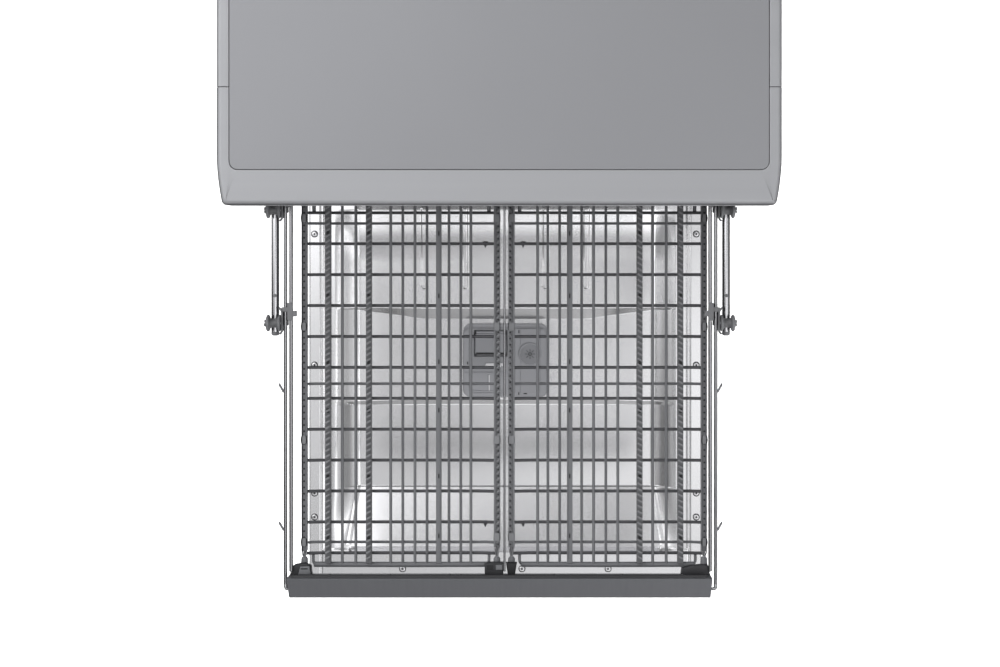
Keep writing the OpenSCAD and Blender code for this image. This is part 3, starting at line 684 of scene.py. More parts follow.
def dispenser():
    lo, hi = mm("dispenser_housing")
    zt = hi[2]
    m = Mesh()
    x0, x1, d0, d1 = -63.6, 63.6, lo[1] + 0.4, hi[1] - 0.4
    base = LZ - 12.5
    # body with rounded corners, stepped rim
    m.slab(rrect(x0, x1, d0, d1, 11, 7), base, zt - 8.4, r=0.8, seg=2)

    def ring(outline, za, zb, r):
        # the outline in two halves, with the detergent cup left open between them
        dc, ca, cb = -190.0, -47.2, 3.2
        for sg, edge in ((1, -169.8), (-1, -210.2)):
            half = sorted((q for q in outline if sg * (q[1] - dc) > 0), key=lambda q: math.atan2(sg * (q[1] - dc), q[0]))
            xa, xb = min(q[0] for q in outline), max(q[0] for q in outline)
            m.slab(half + [(xa, dc), (ca, dc), (ca, edge), (cb, edge), (cb, dc), (xb, dc)], za, zb, r=r, seg=2)

    ring(rrect(x0, x1, d0, d1, 11, 7), zt - 8.6, zt - 3.0, 0.0)
    ring(rrect(x0 + 1.6, x1 - 1.6, d0 + 1.6, d1 - 6.5, 9.5, 7), zt - 3.2, zt - 1.2, 0.0)
    # right-hand cover with long ribs
    m.slab(rrect(10, 60, d0 + 5, d1 - 7, 3, 4), zt - 1.3, zt - 0.4, r=0.35, seg=2, mat=0)
    for x in (14.2, 22.2, 48.4, 52.0):
        m.box(x, x + 0.9, d0 + 5.5, d1 - 7.5, zt - 0.5, zt + 0.1, r=0.3, seg=1, mat=1)
    # left bay: step, frame of the detergent flap
    m.box(-61, 3.5, d0 + 36, d0 + 37.2, zt - 1.3, zt - 0.4, r=0.3, seg=1, mat=1)
    m.box(-50, 2, d0 + 5, d0 + 6.4, zt - 1.3, zt - 0.5, r=0.3, seg=1, mat=1)
    m.box(-50, 2, d0 + 9, d0 + 9.9, zt - 1.3, zt - 0.7, r=0.3, seg=1, mat=1)
    m.box(-25.2, -23.4, d0 + 10, d0 + 33, zt - 1.3, zt - 0.3, r=0.3, seg=1, mat=2)
    m.box(-54.6, -53.2, d0 + 8, d1 - 9, zt - 1.4, zt - 0.6, r=0.3, seg=1, mat=1)
    # light latch under the flap
    m.slab([(-31, d0 + 46.6), (-28.4, d0 + 50.8), (-3.8, d0 + 50.8), (-3.8, d0 + 46.6)], zt - 1.3, zt - 0.1, r=0.3, seg=2, mat=2)
    m.box(-9.4, -6.6, d0 + 44.6, d0 + 51, zt - 1.2, zt + 0.2, r=0.4, seg=2, mat=2)
    # small openings, drawn as near-black patches: painted shade
    m.box(19.6, 21.0, d1 - 13.5, d1 - 8.5, zt - 1.3, zt - 0.25, r=0.1, seg=1, mat=3)
    m.box(19.4, 20.8, d0 + 3.2, d0 + 7.2, zt - 1.3, zt - 0.25, r=0.1, seg=1, mat=3)
    m.box(27.2, 32.6, d0 + 4.3, d0 + 6.0, zt - 1.3, zt - 0.25, r=0.1, seg=1, mat=3)
    m.box(-57.4, -56.0, d0 + 49, d0 + 53, zt - 1.3, zt - 0.4, r=0.1, seg=1, mat=3)
    o = m.make("dispenser_body", [M["disp"], M["lid"], M["latch"], M["near_black_and_recess_shade"]], "door", ["dispenser_housing"])

    # detergent flap
    m = Mesh()
    lo2, hi2 = mm("detergent_lid")
    m.slab(rrect(lo2[0], hi2[0], lo2[1], hi2[1] - 3.9, 4.2, 6), zt + 0.15, hi2[2] - 0.9, r=0.3, seg=2)
    m.rod(P(lo2[0] + 2, hi2[1] - 2.3, hi2[2] - 2.25), P(hi2[0] - 2, hi2[1] - 2.3, hi2[2] - 2.25), 1.9, 16)
    m.slab(rrect(lo2[0] + 0.8, hi2[0] - 0.8, lo2[1] + 3.6, hi2[1] - 4.6, 4, 6), hi2[2] - 1.1, hi2[2], r=0.4, seg=3)
    m.box(lo2[0] + 1.4, hi2[0] - 1.4, lo2[1] + 0.3, lo2[1] + 3.3, hi2[2] - 1.0, hi2[2] - 0.75, r=0.1, seg=1, mat=1)
    for k in range(4):
        a = math.radians(62 + k * 8)
        m.tube([P(-20 + 3 * k, -190, hi2[2]), P(-20 + 3 * k + 14 * math.cos(a), -190 + 14 * math.sin(a), hi2[2])], 0.25, 4)
    m.make("detergent_flap", [M["lid"], M["near_black_and_recess_shade"]], "detergent_lid", ["detergent_lid"])

    # rinse-aid cap with a plain sunburst of raised strokes
    m = Mesh()
    lo3, hi3 = mm("rinse_cap")
    c = P((lo3[0] + hi3[0]) / 2, (lo3[1] + hi3[1]) / 2, 0)
    top = zt + 0.55
    m.lathe(c, "z", [(zt - 1.0, 17.6), (top - 0.5, 17.6), (top - 0.1, 17.2), (top, 16.6), (top, 15.2), (top - 0.35, 14.8), (top - 0.35, 0)], 64)
    for k in range(8):
        a = math.radians(22.5 + k * 45 + 22.5)
        m.tube([c + Vector((math.cos(a), math.sin(a), 0)) * 0.0036 + Vector((0, 0, (top - 0.25) / 1000)),
                c + Vector((math.cos(a), math.sin(a), 0)) * 0.0078 + Vector((0, 0, (top - 0.25) / 1000))], 0.4, 6, mat=1)
    m.lathe(c, "z", [(top - 0.4, 2.6), (top, 2.6), (top, 1.6), (top - 0.4, 1.6)], 24, mat=1)
    for s in (-1, 1):
        m.tube([c + Vector((math.cos(math.radians(a)), math.sin(math.radians(a)), 0)) * 0.0125 + Vector((0, 0, (top - 0.2) / 1000))
                for a in np.linspace(90 + s * 90 - 26, 90 + s * 90 + 26, 7)], 0.45, 6, mat=0)
    m.make("rinse_aid_cap", [M["lid"], M["near_black_and_recess_shade"]], "rinse_cap", ["rinse_cap"])


dispenser()


def screws():
    m = Mesh()
    rows = [(s * 286.8, d) for s in (-1, 1) for d in (-25.7, -222.6, -415.0, -451.0)] + [(-154.5, -528.8), (24.9, -528.8), (154.3, -528.8)]
    for x, d in rows:
        c = P(x, d, 0)
        m.lathe(c, "z", [(LZ - 0.3, 5.2), (LZ + 0.30, 5.2), (LZ + 0.42, 4.95), (LZ + 0.42, 4.5), (LZ + 0.2, 4.3)], 40, mat=1)
        m.lathe(c, "z", [(LZ + 0.2, 4.4), (LZ + 0.9, 4.2), (LZ + 1.4, 3.6), (LZ + 1.5, 2.8), (LZ + 1.5, 1.5)], 36, mat=0)
        # the drive recess is a near-black star on the head: painted shade
        star = []
        for k in range(24):
            a = 2 * math.pi * k / 24
            r = 1.45 + 0.25 * math.cos(6 * a)
            star.append((x + r * math.cos(a), d + r * math.sin(a)))
        m.slab(star, LZ + 1.0, LZ + 1.54, r=0, mat=1)
    m.make("liner_rim_screws", [M["screw"], M["near_black_and_recess_shade"]], "door", ["liner_screws"])


screws()

# ---------------------------------------------------------------- cutlery rack
TZ = mm("tray_left")[0][2]
XC = 4.0                                   # the two trays mirror about this line
ZW = 718.0                                 # cross wires
ZL = 721.12                                # long wires
CROSS = [-5.5 - 35.26 * i for i in range(12)]


def both(m_fn):
    for s in (-1, 1):
        m_fn(s, lambda o, s=s: XC + s * o)


def trays():
    for s, node, nm in ((-1, "tray_left", "left"), (1, "tray_right", "right")):
        X = lambda o: XC + s * o
        m = Mesh()
        # cross wires: hang from the strips in a shallow trough
        for d in CROSS:
            pts = []
            for k in range(13):
                o = 9.0 + (227.0 - 9.0) * k / 12
                edge = min(o - 9.0, 227.0 - o)
                pts.append(P(X(o), d, ZW + 2.2 * (1 - float(smooth(edge / 12.0)))))
            m.tube(pts, 1.8, 10, mat=1)
        # long plain wires with down-turned ends
        for o in (38, 101.7, 129.3, 169, 184.4):
            m.tube([P(X(o), 9, ZL + 0.6), P(X(o), 2, ZL), P(X(o), -398, ZL), P(X(o), -405.5, ZL + 0.5)], 1.72, 10)
        # knurled wires
        for o in (49.6, 63, 88, 115.6):
            pts, rad = [], []
            n = 356
            for k in range(n + 1):
                d = 6 - 411 * k / n
                pts.append(P(X(o), d, ZL))
                rad.append(1.66 + 0.34 * (1 if k % 2 else -1))
            m.tube(pts, 1.5, 7, radii=rad)
        # flat ribbed strip
        m.box(min(X(71.3), X(77.7)), max(X(71.3), X(77.7)), -404.5, 6, ZL - 1.2, ZL + 2.6, r=0.5, seg=2)
        pts, rad = [], []
        for k in range(361):
            d = 6 - 405 * k / 360
            pts.append(P(X(72.6), d, ZL + 2.7))
            rad.append(0.75 + 0.22 * (1 if k % 2 else -1))
        m.tube(pts, 1.0, 6, radii=rad)
        for dd in (-29, -100, -175, -230, -305, -373):
            m.box(X(74.4) - 0.75, X(74.4) + 0.75, dd - 2.6, dd + 2.6, ZL + 2.4, ZL + 2.75, r=0.1, seg=1, mat=2)
        # lower cross bars and end rims
        for d in (-17.6, -200.8, -381.7):
            m.tube([P(X(8), d, 718.5), P(X(13), d, 715.6), P(X(20), d, 714.0), P(X(214), d, 714.0), P(X(221), d, 715.6), P(X(227), d, 718.5)], 1.6, 10)
        m.tube(bend([P(X(17.4), -394.5, 716.2), P(X(17.4), -406.2, 718.6), P(X(218.0), -406.2, 718.6), P(X(218.0), -394.5, 716.2)], 7, 6), 1.7, 12, mat=0)
        m.tube([P(X(19), -406.0, 720.1), P(X(108), -406.3, 720.1), P(X(217), -406.0, 720.1)], 3.1, 16, mat=0)
        m.tube(bend([P(X(17.6), -5.5, 716), P(X(17.6), 9.2, 719), P(X(217.2), 9.2, 719), P(X(217.2), -5.5, 716)], 9, 6), 2.2, 10, mat=0)
        # small spikes at the inner edge
        for dd in (-36.5, -355):
            for q in (-3.4, 3.4):
                m.tube([P(X(21.5) + q * 0.5, dd - 1.5, ZL - 1.5), P(X(21.5), dd - 8.6, ZL - 3)], 1.2, 8, mat=1, radii=[1.7, 0.4])
        m.make("tray_wires_" + nm, [M["wire"], M["wire_dark"], M["near_black_and_recess_shade"]], "cutlery_rack", [node])

    # slanted-tooth combs that hold the handles: a solid bar in the darker comb plastic with a lighter zigzag along its
    # back; the lighter colour of the teeth is a painted highlight
    m = Mesh()
    for s in (-1, 1):
        for oc in (153.7, 200.0):
            x = XC + s * oc
            m.box(x - 3.25, x + 3.25, -403.5, 5.4, 719.7, 729.0, r=0.7, seg=2, mat=1)
            d = 0.5
            while d > -400:
                a = Vector((x - 2.6, d + s * 1.6))
                b = Vector((x + 2.6, d - s * 1.6))
                t = (b - a).normalized()
                nn = Vector((-t.y, t.x)) * 0.95
                q = [a - nn, b - nn, b + nn, a + nn]
                v = [P(c.x, c.y, 728.6) for c in q] + [P(x + (c.x - x) * 0.84, d + (c.y - d) * 0.78, 732.7) for c in q]
                m.add(v, [(0, 1, 2, 3), (7, 6, 5, 4), (0, 4, 5, 1), (1, 5, 6, 2), (2, 6, 7, 3), (3, 7, 4, 0)], 0)
                d -= 6.4
            for dd in (-29, -100, -175, -230, -305, -373):
                m.box(x - 1.6, x + 1.6, dd - 2.6, dd + 2.6, 728.8, 729.9, r=0.3, seg=1, mat=2)
    m.make("cutlery_combs", [M["comb"], M["comb_dark"], M["near_black_and_recess_shade"]], "cutlery_rack", ["tray_combs"])

    # side strips: low channels with a black outer wall, a row of holes drawn as near-black discs of painted shade, and
    # fine teeth
    m = Mesh()
    top = mm("side_strips")[1][2]
    for s in (-1, 1):
        for inner in (0, 1):
            a, b = (4.4, 12.1) if inner else (224.0, 230.4)
            end = -386 if inner else -391
            xa, xb = XC + s * a, XC + s * b
            x0, x1 = min(xa, xb), max(xa, xb)
            m.box(x0 + 0.2, x1 - 0.2, end, 9.8, 715.2, top - 2.6, r=1.0, seg=2, mat=0)
            if not inner:
                xo = XC + s * (b - 1.0)
                m.box(min(xo, xo + s * 1.0), max(xo, xo + s * 1.0), end + 0.5, 9.8, 718, top - 0.3, r=0.35, seg=2, mat=1)
                xi = XC + s * a
                m.box(min(xi, xi + s * 1.1), max(xi, xi + s * 1.1), end + 0.5, 9.8, 718, top - 1.2, r=0.4, seg=2, mat=0)
                xm = XC + s * 227.6
                d = 1.5
                while d > end + 4:
                    # each hole is a near-black disc: painted shade
                    m.lathe(P(xm, d, 0), "z", [(top - 2.8, 1.25), (top - 2.45, 1.1), (top - 2.45, 0)], 10, mat=1)
                    d -= 7.1
                for dd in (-11.6, -134.8, -263.6, -380.0):
                    m.slab(rrect(xm - 2.3, xm + 2.3, dd - 4.8, dd + 4.8, 2.0, 4), top - 2.8, top - 0.5, r=0.6, seg=2, mat=2)
                    for q in (-2.7, 2.7):
                        m.tube([P(xm + q, dd - 4.2, top - 1.5), P(xm + q * 1.2, dd, top - 1.0), P(xm + q, dd + 4.2, top - 1.5)], 0.55, 6, mat=1)
            else:
                # fine slanted teeth towards the middle gap
                xt = XC + s * 6.6
                m.box(min(XC + s * 9.6, XC + s * 11.9), max(XC + s * 9.6, XC + s * 11.9), end + 0.5, 9.8, 718, top - 0.4, r=0.5, seg=2, mat=0)
                d = 4.0
                while d > end + 4:
                    m.tube([P(xt + s * 2.4, d - 1.7, top - 2.4), P(xt - s * 1.6, d + 1.5, top - 1.4)], 1.15, 6, mat=2)
                    # each hole is a near-black disc: painted shade
                    m.lathe(P(xt + s * 0.2, d - 3.5, 0), "z", [(top - 2.8, 1.2), (top - 2.45, 1.0), (top - 2.45, 0)], 8, mat=1)
                    d -= 7.1
                for dd in (-11.6, -134.8, -263.6, -374.0):
                    m.slab(rrect(min(XC + s * 5.2, XC + s * 11.2), max(XC + s * 5.2, XC + s * 11.2), dd - 4.8, dd + 4.8, 2.0, 4), top - 2.6, top - 0.2, r=0.6, seg=2, mat=2)
                    for q in (4.9, 11.6):
                        m.tube([P(XC + s * q, dd - 4.2, top - 1.3), P(XC + s * q, dd + 4.2, top - 1.3)], 0.6, 6, mat=1)
    m.make("tray_side_strips", [M["strip"], M["near_black_and_recess_shade"], M["comb"]], "cutlery_rack", ["side_strips"])


trays()


def rack_frame():
    m = Mesh()
    for s in (-1, 1):
        # two bright rods a side; the outer one runs past the end of the pull bar
        m.tube([P(s * 243, 20, 735), P(s * 243, -424, 735), P(s * 243.0, -427.6, 734.8), P(s * 242.6, -429.8, 734.0)], 2.1, 18)
        m.tube([P(s * 236.7, 20, 735), P(s * 236.7, -411, 735)], 2.2, 18)
        for d in (-204, -360):
            m.tube([P(s * 245.0, d - 4.5, 735.6), P(s * 249.0, d + 3.5, 736.6)], 1.3, 10, mat=1)
            m.lathe(P(s * 249.4, d + 4, 736.8), "x", [(-1, 1.7), (0.6, 1.9), (1, 1.2)], 14, mat=1)
    # the short returns that meet the ends of the pull bar
    m.tube(bend([P(242.8, -420, 735), P(242.8, -430.6, 734.6), P(238.4, -430.9, 734.4)], 3.0, 5), 1.9, 14)
    m.tube(bend([P(-242.8, -420, 735), P(-242.8, -430.4, 734.6), P(-240.3, -430.6, 734.4)], 2.4, 5), 1.9, 14)
    m.tube([P(XC + 0.4, 15, 735), P(XC + 0.4, -411, 735)], 1.25, 14)
    m.tube([P(-242, 23, 735), P(242, 23, 735)], 2.6, 18)
    m.make("rack_side_rods", [M["rodsteel"], M["strip"]], "cutlery_rack", ["rack_rods"])

    # pull bar: sloped face, rolled top, thin lower lip
    lo, hi = mm("rack_handle")
    m = Mesh()
    prof = [(-416.0, 746.4), (-416.9, 747.7), (-418.6, 747.3), (-440.6, 731.7), (-442.0, 729.6), (-441.7, 727.8), (-440.2, 727.3), (-438.2, 728.2),
            (-420.8, 740.6), (-418.4, 741.0), (-417.4, 739.0), (-417.4, 723.0), (-416.0, 722.4)]
    m.slab(prof, lo[0] + 0.2, hi[0] - 0.2, r=0.5, seg=2, plane="dz", mat=0)
    # dark lip behind the bar, with small pegs
    m.slab([(-416.2, 739), (-416.2, 744.8), (-413.6, 744.2), (-413.2, 743.2), (-413.2, 740.6), (-414.0, 739)], lo[0] + 6, hi[0] - 6, r=0.4, seg=2, plane="dz", mat=1)
    for x in (-211, -192, -124, -45, -57, 60, 137, 205):
        m.lathe(P(x, -413.4, 0), "z", [(740.5, 1.2), (744.2, 1.2), (744.6, 0.8), (744.6, 0)], 14, mat=1)
    for x0, x1, sg in ((lo[0], lo[0] + 1.6, -1), (hi[0] - 1.6, hi[0], 1)):
        m.slab([(-416.0, 747.2), (-418.6, 746.9), (-440.6, 731.0), (-440.6, 727.7), (-416.4, 723)], x0, x1, r=0.4, seg=2, plane="dz", mat=0)
    m.make("pull_bar", [M["bar"], M["black"]], "cutlery_rack", ["rack_handle"])

    m = Mesh()
    # four sockets that clamp the trays to the bar, with bottle-shaped necks
    for o in (-227.2, -8.3, 8.3, 227.2):
        x = XC + o
        end = -391 if abs(o) > 100 else -386
        m.lathe(P(x, 0, 722.5), "d", [(F * 0 - 405.5, 4.1), (-399.0, 3.9), (-397.6, 3.2), (-396.4, 2.0), (-394.5, 1.5), (end, 1.5)], 20, mat=1)
        for q in (-1.7, 1.7):
            m.tube([P(x + q * 1.6, end + 0.5, 723.5), P(x + q * 1.2, end - 2.4, 724.6), P(x + q * 0.5, -396.8, 724.2)], 0.8, 8, mat=3)
    m.slab([(-238.0, -416.2), (-238.2, -407.8), (-232.5, -404.2), (-222, -402.2), (-214.8, -405.5), (-213.4, -416.2)], 724, 732.6, r=0.9, seg=3)
    m.slab([(-229, -416.1), (-226.6, -405.8), (-216.2, -405.4), (-214.6, -416.1)], 732.2, 735.0, r=0.5, seg=2, mat=1)
    m.box(-226, -218, -408.8, -407.4, 734.8, 735.3, r=0.2, seg=1, mat=2)
    m.slab([(-18.0, -416.2), (-18.2, -403.0), (-14, -401.8), (3.0, -401.8), (3.0, -416.2)], 724, 732.6, r=0.9, seg=3)
    m.box(-15.6, -8.5, -409.4, -404.6, 732.2, 733.2, r=0.4, seg=2, mat=2)
    m.box(-5.4, 2.2, -409.6, -404.2, 732.3, 733.6, r=0.5, seg=2, mat=1)
    m.slab([(6.0, -402.0), (18.4, -402.0), (16.2, -416.2), (8.2, -416.2)], 724, 732.9, r=1.4, seg=3, mat=2)
    m.slab([(204, -416.2), (205, -408.4), (214, -405.6), (226, -404.4), (234.6, -404.6), (237.6, -416.2)], 724, 732.6, r=0.9, seg=3)
    m.make("bar_sockets", [M["black"], M["strip"], M["near_black_and_recess_shade"], M["rodsteel"]], "cutlery_rack", ["handle_sockets"])


rack_frame()


def rails():
    for s, node in ((-1, "rail_left"), (1, "rail_right")):
        lo, hi = mm(node)
        m = Mesh()
        x = s * 255.6
        # a rolled tube with a seam along its inner side, darkened by a thin near-black rod laid in it as painted shade,
        # and a ledge beside it
        ring = []
        for k in range(36):
            a = 2 * math.pi * k / 36
            r = 4.45 - 0.9 * math.exp(-((((a - (math.radians(38) if s < 0 else math.radians(142)) + math.pi) % (2 * math.pi) - math.pi) / 0.16) ** 2))
            ring.append((x + r * math.cos(a), 728 + r * math.sin(a)))
        m.slab(ring, lo[1] + 4.2, 269, r=0.5, seg=2, plane="xz", mat=0)
        m.tube([P(x - s * 3.2, lo[1] + 5, 731.3), P(x - s * 3.2, 268, 731.3)], 0.55, 8, mat=2)
        # rounded plug at the front end, rivet near it
        m.lathe(P(x, 0, 728), "d", [(lo[1], 0), (lo[1], 2.4), (lo[1] + 0.6, 3.9), (lo[1] + 2.0, 4.5), (lo[1] + 4.2, 4.5)], 28, mat=1)
        m.lathe(P(x, -99.5, 0), "z", [(731.6, 2.2), (732.45, 2.0), (732.75, 1.2), (732.75, 0)], 18, mat=1)
        m.make(node + "_tube", [M["chrome"], M["roller"], M["near_black_and_recess_shade"]], "rack_rails", [node])
    # the spool rollers of the rack and of the tub
    for node, d, z in (("rack_rollers_front", -130.3, 737.6), ("rack_rollers_rear", -2.7, 737.6), ("guide_rollers_front", 125.0, 718.4), ("guide_rollers_rear", 255.0, 718.4)):
        m = Mesh()
        for s in (-1, 1):
            prof = [(248.0, 3.0), (248.0, 8.2), (248.4, 9.2), (249.2, 9.5), (250.2, 9.2), (250.9, 8.0), (251.4, 6.2), (252.6, 5.2), (255.6, 5.0),
                    (258.6, 5.2), (259.8, 6.2), (260.3, 8.0), (261.0, 9.2), (262.2, 9.5), (263.3, 9.1), (264.0, 7.8), (264.0, 6.4), (263.0, 6.0), (263.0, 3.0)]
            m.lathe(P(0, d, z), "x", [(s * a, r) for a, r in prof], 40, mat=0)
            for k in range(3):
                a = math.radians(90 + 120 * k)
                m.tube([P(s * 264.6, d + 6.6 * math.cos(a), z + 6.6 * math.sin(a)), P(s * 264.6, d + 3.0 * math.cos(a), z + 3.0 * math.sin(a))], 0.7, 6)
        m.make(node + "_spools", [M["roller"]], node, [node])
    # carriages that hold the rollers on the rods
    m = Mesh()
    for s in (-1, 1):
        for d in (-130.3, -2.7):
            X = lambda v: s * v
            def bx(a, b, d0, d1, z0, z1, r=0.6, mat=0):
                m.box(min(s * a, s * b), max(s * a, s * b), d0, d1, z0, z1, r=r, seg=2, mat=mat)
            bx(234.4, 240.4, d + 3, d + 23, 737.4, 740.4, 1.0)
            bx(229.6 if s < 0 else 230.0, 234.8, d + 7.5, d + 14.0, 736.8, 740.0, 0.8)
            bx(240.0, 247.2, d - 3.0, d + 15.0, 729.0, 732.4, 0.9)
            bx(245.5, 247.3, d - 9, d + 12, 728.4, 740.6, 0.7)
            bx(238.8, 247.2, d + 13, d + 18, 737.4, 739.6, 0.8)
            m.lathe(P(0, d, 737.6), "x", [(s * 247.3, 2.45), (s * 265.3, 2.45), (s * 265.4, 3.9), (s * 266.3, 3.7), (s * 266.7, 2.6), (s * 266.7, 0)], 24, mat=1)
            m.tube(bend([P(s * 246.6, d + 8, 738), P(s * 246.6, d + 14, 739.4), P(s * 249.6, d + 17.5, 739.2)], 3, 4), 1.2, 10)
            m.tube(bend([P(s * 246.6, d - 6, 736), P(s * 246.6, d - 10, 737.4), P(s * 249.4, d - 12.5, 737.0)], 3, 4), 1.2, 10)
    m.make("rail_carriages", [M["roller"], M["screw"]], "cutlery_rack", ["carriages"])


rails()

# ---------------------------------------------------------------- cabinet
def dress(node, mat, width=0.35, seg=2):
    """A CAD node keeps its shape and gets a finish and broken edges."""
    o = N[node]
    if o.material_slots:
        for q in o.material_slots:
            q.material = mat
    else:
        o.data.materials.append(mat)
    if width:
        b = o.modifiers.new("edges", "BEVEL")
        b.width = width / 1000.0
        b.segments = seg
        b.limit_method = "ANGLE"
        b.angle_limit = math.radians(40)
        b.use_clamp_overlap = True
    return o


for node, mat, w in (("side_panel_left", "paint", 0.5), ("side_panel_right", "paint", 0.5), ("base_tray", "black", 0.8), ("kick_plate", "kick", 0.6),
                     ("hinge_brackets", "zinc", 0.4), ("rail_guides", "zinc", 0.4), ("upper_rails", "zinc", 0.5), ("upper_basket", "basket", 0.0),
                     ("upper_runners", "zinc", 0.4), ("lower_basket", "basket", 0.0), ("folding_tines", "basket", 0.0), ("hinge_arms", "zinc", 0.4)):
    dress(node, M[mat], w)


def fascia():
    lo, hi = mm("control_fascia")
    m = Mesh()
    y0, y1, z0, z1 = lo[1], hi[1], lo[2], hi[2]
    # a hollow front with rounded lower edge and a finger line
    prof = [(y1, z1 - 0.3), (y0 + 3.5, z1 - 0.3), (y0 + 1.2, z1 - 1.2), (y0, z1 - 3.6), (y0, z0 + 9), (y0 + 0.8, z0 + 5), (y0 + 3.2, z0 + 1.6), (y0 + 7.0, z0), (y1 - 2, z0), (y1, z0 + 2)]
    m.slab(prof, lo[0], hi[0], r=1.0, seg=3, plane="dz", mat=0)
    # a slim dark display window and six plain keys
    m.slab(rrect(-62, 62, z0 + 15, z1 - 15, 4, 5), y0 - 0.35, y0 + 0.4, r=0.25, seg=2, mat=1, plane="xz")
    for k in range(6):
        x = -215 + 26 * k
        m.slab(rrect(x - 8, x + 8, z0 + 19, z1 - 19, 3, 4), y0 - 0.7, y0 + 0.3, r=0.4, seg=2, mat=2, plane="xz")
    for k in range(4):
        x = 118 + 26 * k
        m.slab(rrect(x - 8, x + 8, z0 + 19, z1 - 19, 3, 4), y0 - 0.7, y0 + 0.3, r=0.4, seg=2, mat=2, plane="xz")
    for x in (-262, 262):
        c = P(x, 0, 789)
        m.lathe(c, "d", [(y0 - 0.9, 8.4), (y0 - 1.1, 9.0), (y0 - 0.9, 10.2), (y0 + 0.3, 10.6)], 40, mat=2)
    m.make("fascia_front", [M["gloss"], M["near_black_and_recess_shade"], M["button"]], "cabinet", ["control_fascia"])
    for node in ("power_button", "start_button"):
        lo, hi = mm(node)
        m = Mesh()
        c = P((lo[0] + hi[0]) / 2, 0, (lo[2] + hi[2]) / 2)
        r = (hi[0] - lo[0]) / 2
        m.lathe(c, "d", [(lo[1] + 0.7, 0), (lo[1] + 0.5, r * 0.45), (lo[1], r * 0.78), (lo[1] + 0.1, r * 0.9), (lo[1] + 0.9, r), (hi[1], r)], 44)
        m.lathe(c, "d", [(lo[1] - 0.05, r * 0.30), (lo[1] - 0.05, r * 0.36), (lo[1] + 0.6, r * 0.36)], 28, mat=1)
        m.make(node + "_cap", [M["button"], M["near_black_and_recess_shade"]], node, [node])


fascia()


def feet():
    m = Mesh()
    for x in (-235, 235):
        for d in (115, 560):
            c = P(x, d, 0)
            m.lathe(c, "z", [(0, 17.5), (0.8, 18.8), (2.2, 19), (5.0, 18.4), (8.2, 11.5), (9.0, 9.5), (14, 8.6), (14.2, 0)], 40, mat=0)
            prof = []
            z = 13.6
            while z < 41.5:
                prof += [(z, 5.3), (z + 0.6, 6.0), (z + 1.2, 5.3)]
                z += 1.75
            m.lathe(c, "z", prof, 24, mat=1)
            hexa = [(x + 9.2 * math.cos(math.radians(60 * k)), d + 9.2 * math.sin(math.radians(60 * k))) for k in range(6)]
            m.slab(hexa, 33.6, 40.6, r=0.7, seg=2, mat=1)
    m.make("screw_feet", [M["black"], M["zinc"]], "cabinet", ["levelling_feet"])


feet()


def back():
    lo, hi = mm("back_panel")
    xs = np.unique(np.concatenate([np.linspace(lo[0], hi[0], 70), np.arange(-214, -186, 2.0), np.arange(186, 214.1, 2.0)]))
    zs = np.linspace(lo[2], hi[2], 90)
    m = Mesh()
    rows = []
    for z in zs:
        row = []
        for x in xs:
            q = 0.0
            for c in (-200.0, 0.0, 200.0):
                q += math.exp(-(((abs(x - c)) / 5.0) ** 4)) * float(smooth(min(z - 230, 740 - z) / 12.0))
            inner = float(smooth((280 - abs(x)) / 8.0)) * float(smooth((z - lo[2] - 12) / 8.0)) * float(smooth((hi[2] - 12 - z) / 8.0))
            row.append(P(float(x), hi[1] - 0.1 - 2.2 * inner + 2.0 * q * inner, float(z)))
        rows.append(row)
    m.grid(rows)
    back_row = [[p - Vector((0, 0.0012, 0)) for p in r] for r in rows]
    m.grid(back_row)
    for k in range(7):
        # the vent slots are near-black strips behind the sheet: painted shade
        m.slab(rrect(-60 + 0, 60, 180 + k * 9, 184 + k * 9, 1.9, 4), hi[1] - 2.9, hi[1] - 1.9, r=0.2, seg=1, mat=1, plane="xz")
    for x in (-288, 288):
        for z in (190, 400, 600, 790):
            m.lathe(P(x, 0, z), "d", [(hi[1] - 0.4, 4.6), (hi[1] - 0.1, 4.6), (hi[1], 4.2), (hi[1], 0)], 20, mat=2)
    m.make("back_sheet", [M["galv"], M["near_black_and_recess_shade"], M["screw"]], "cabinet", ["back_panel"], flat=False)


back()


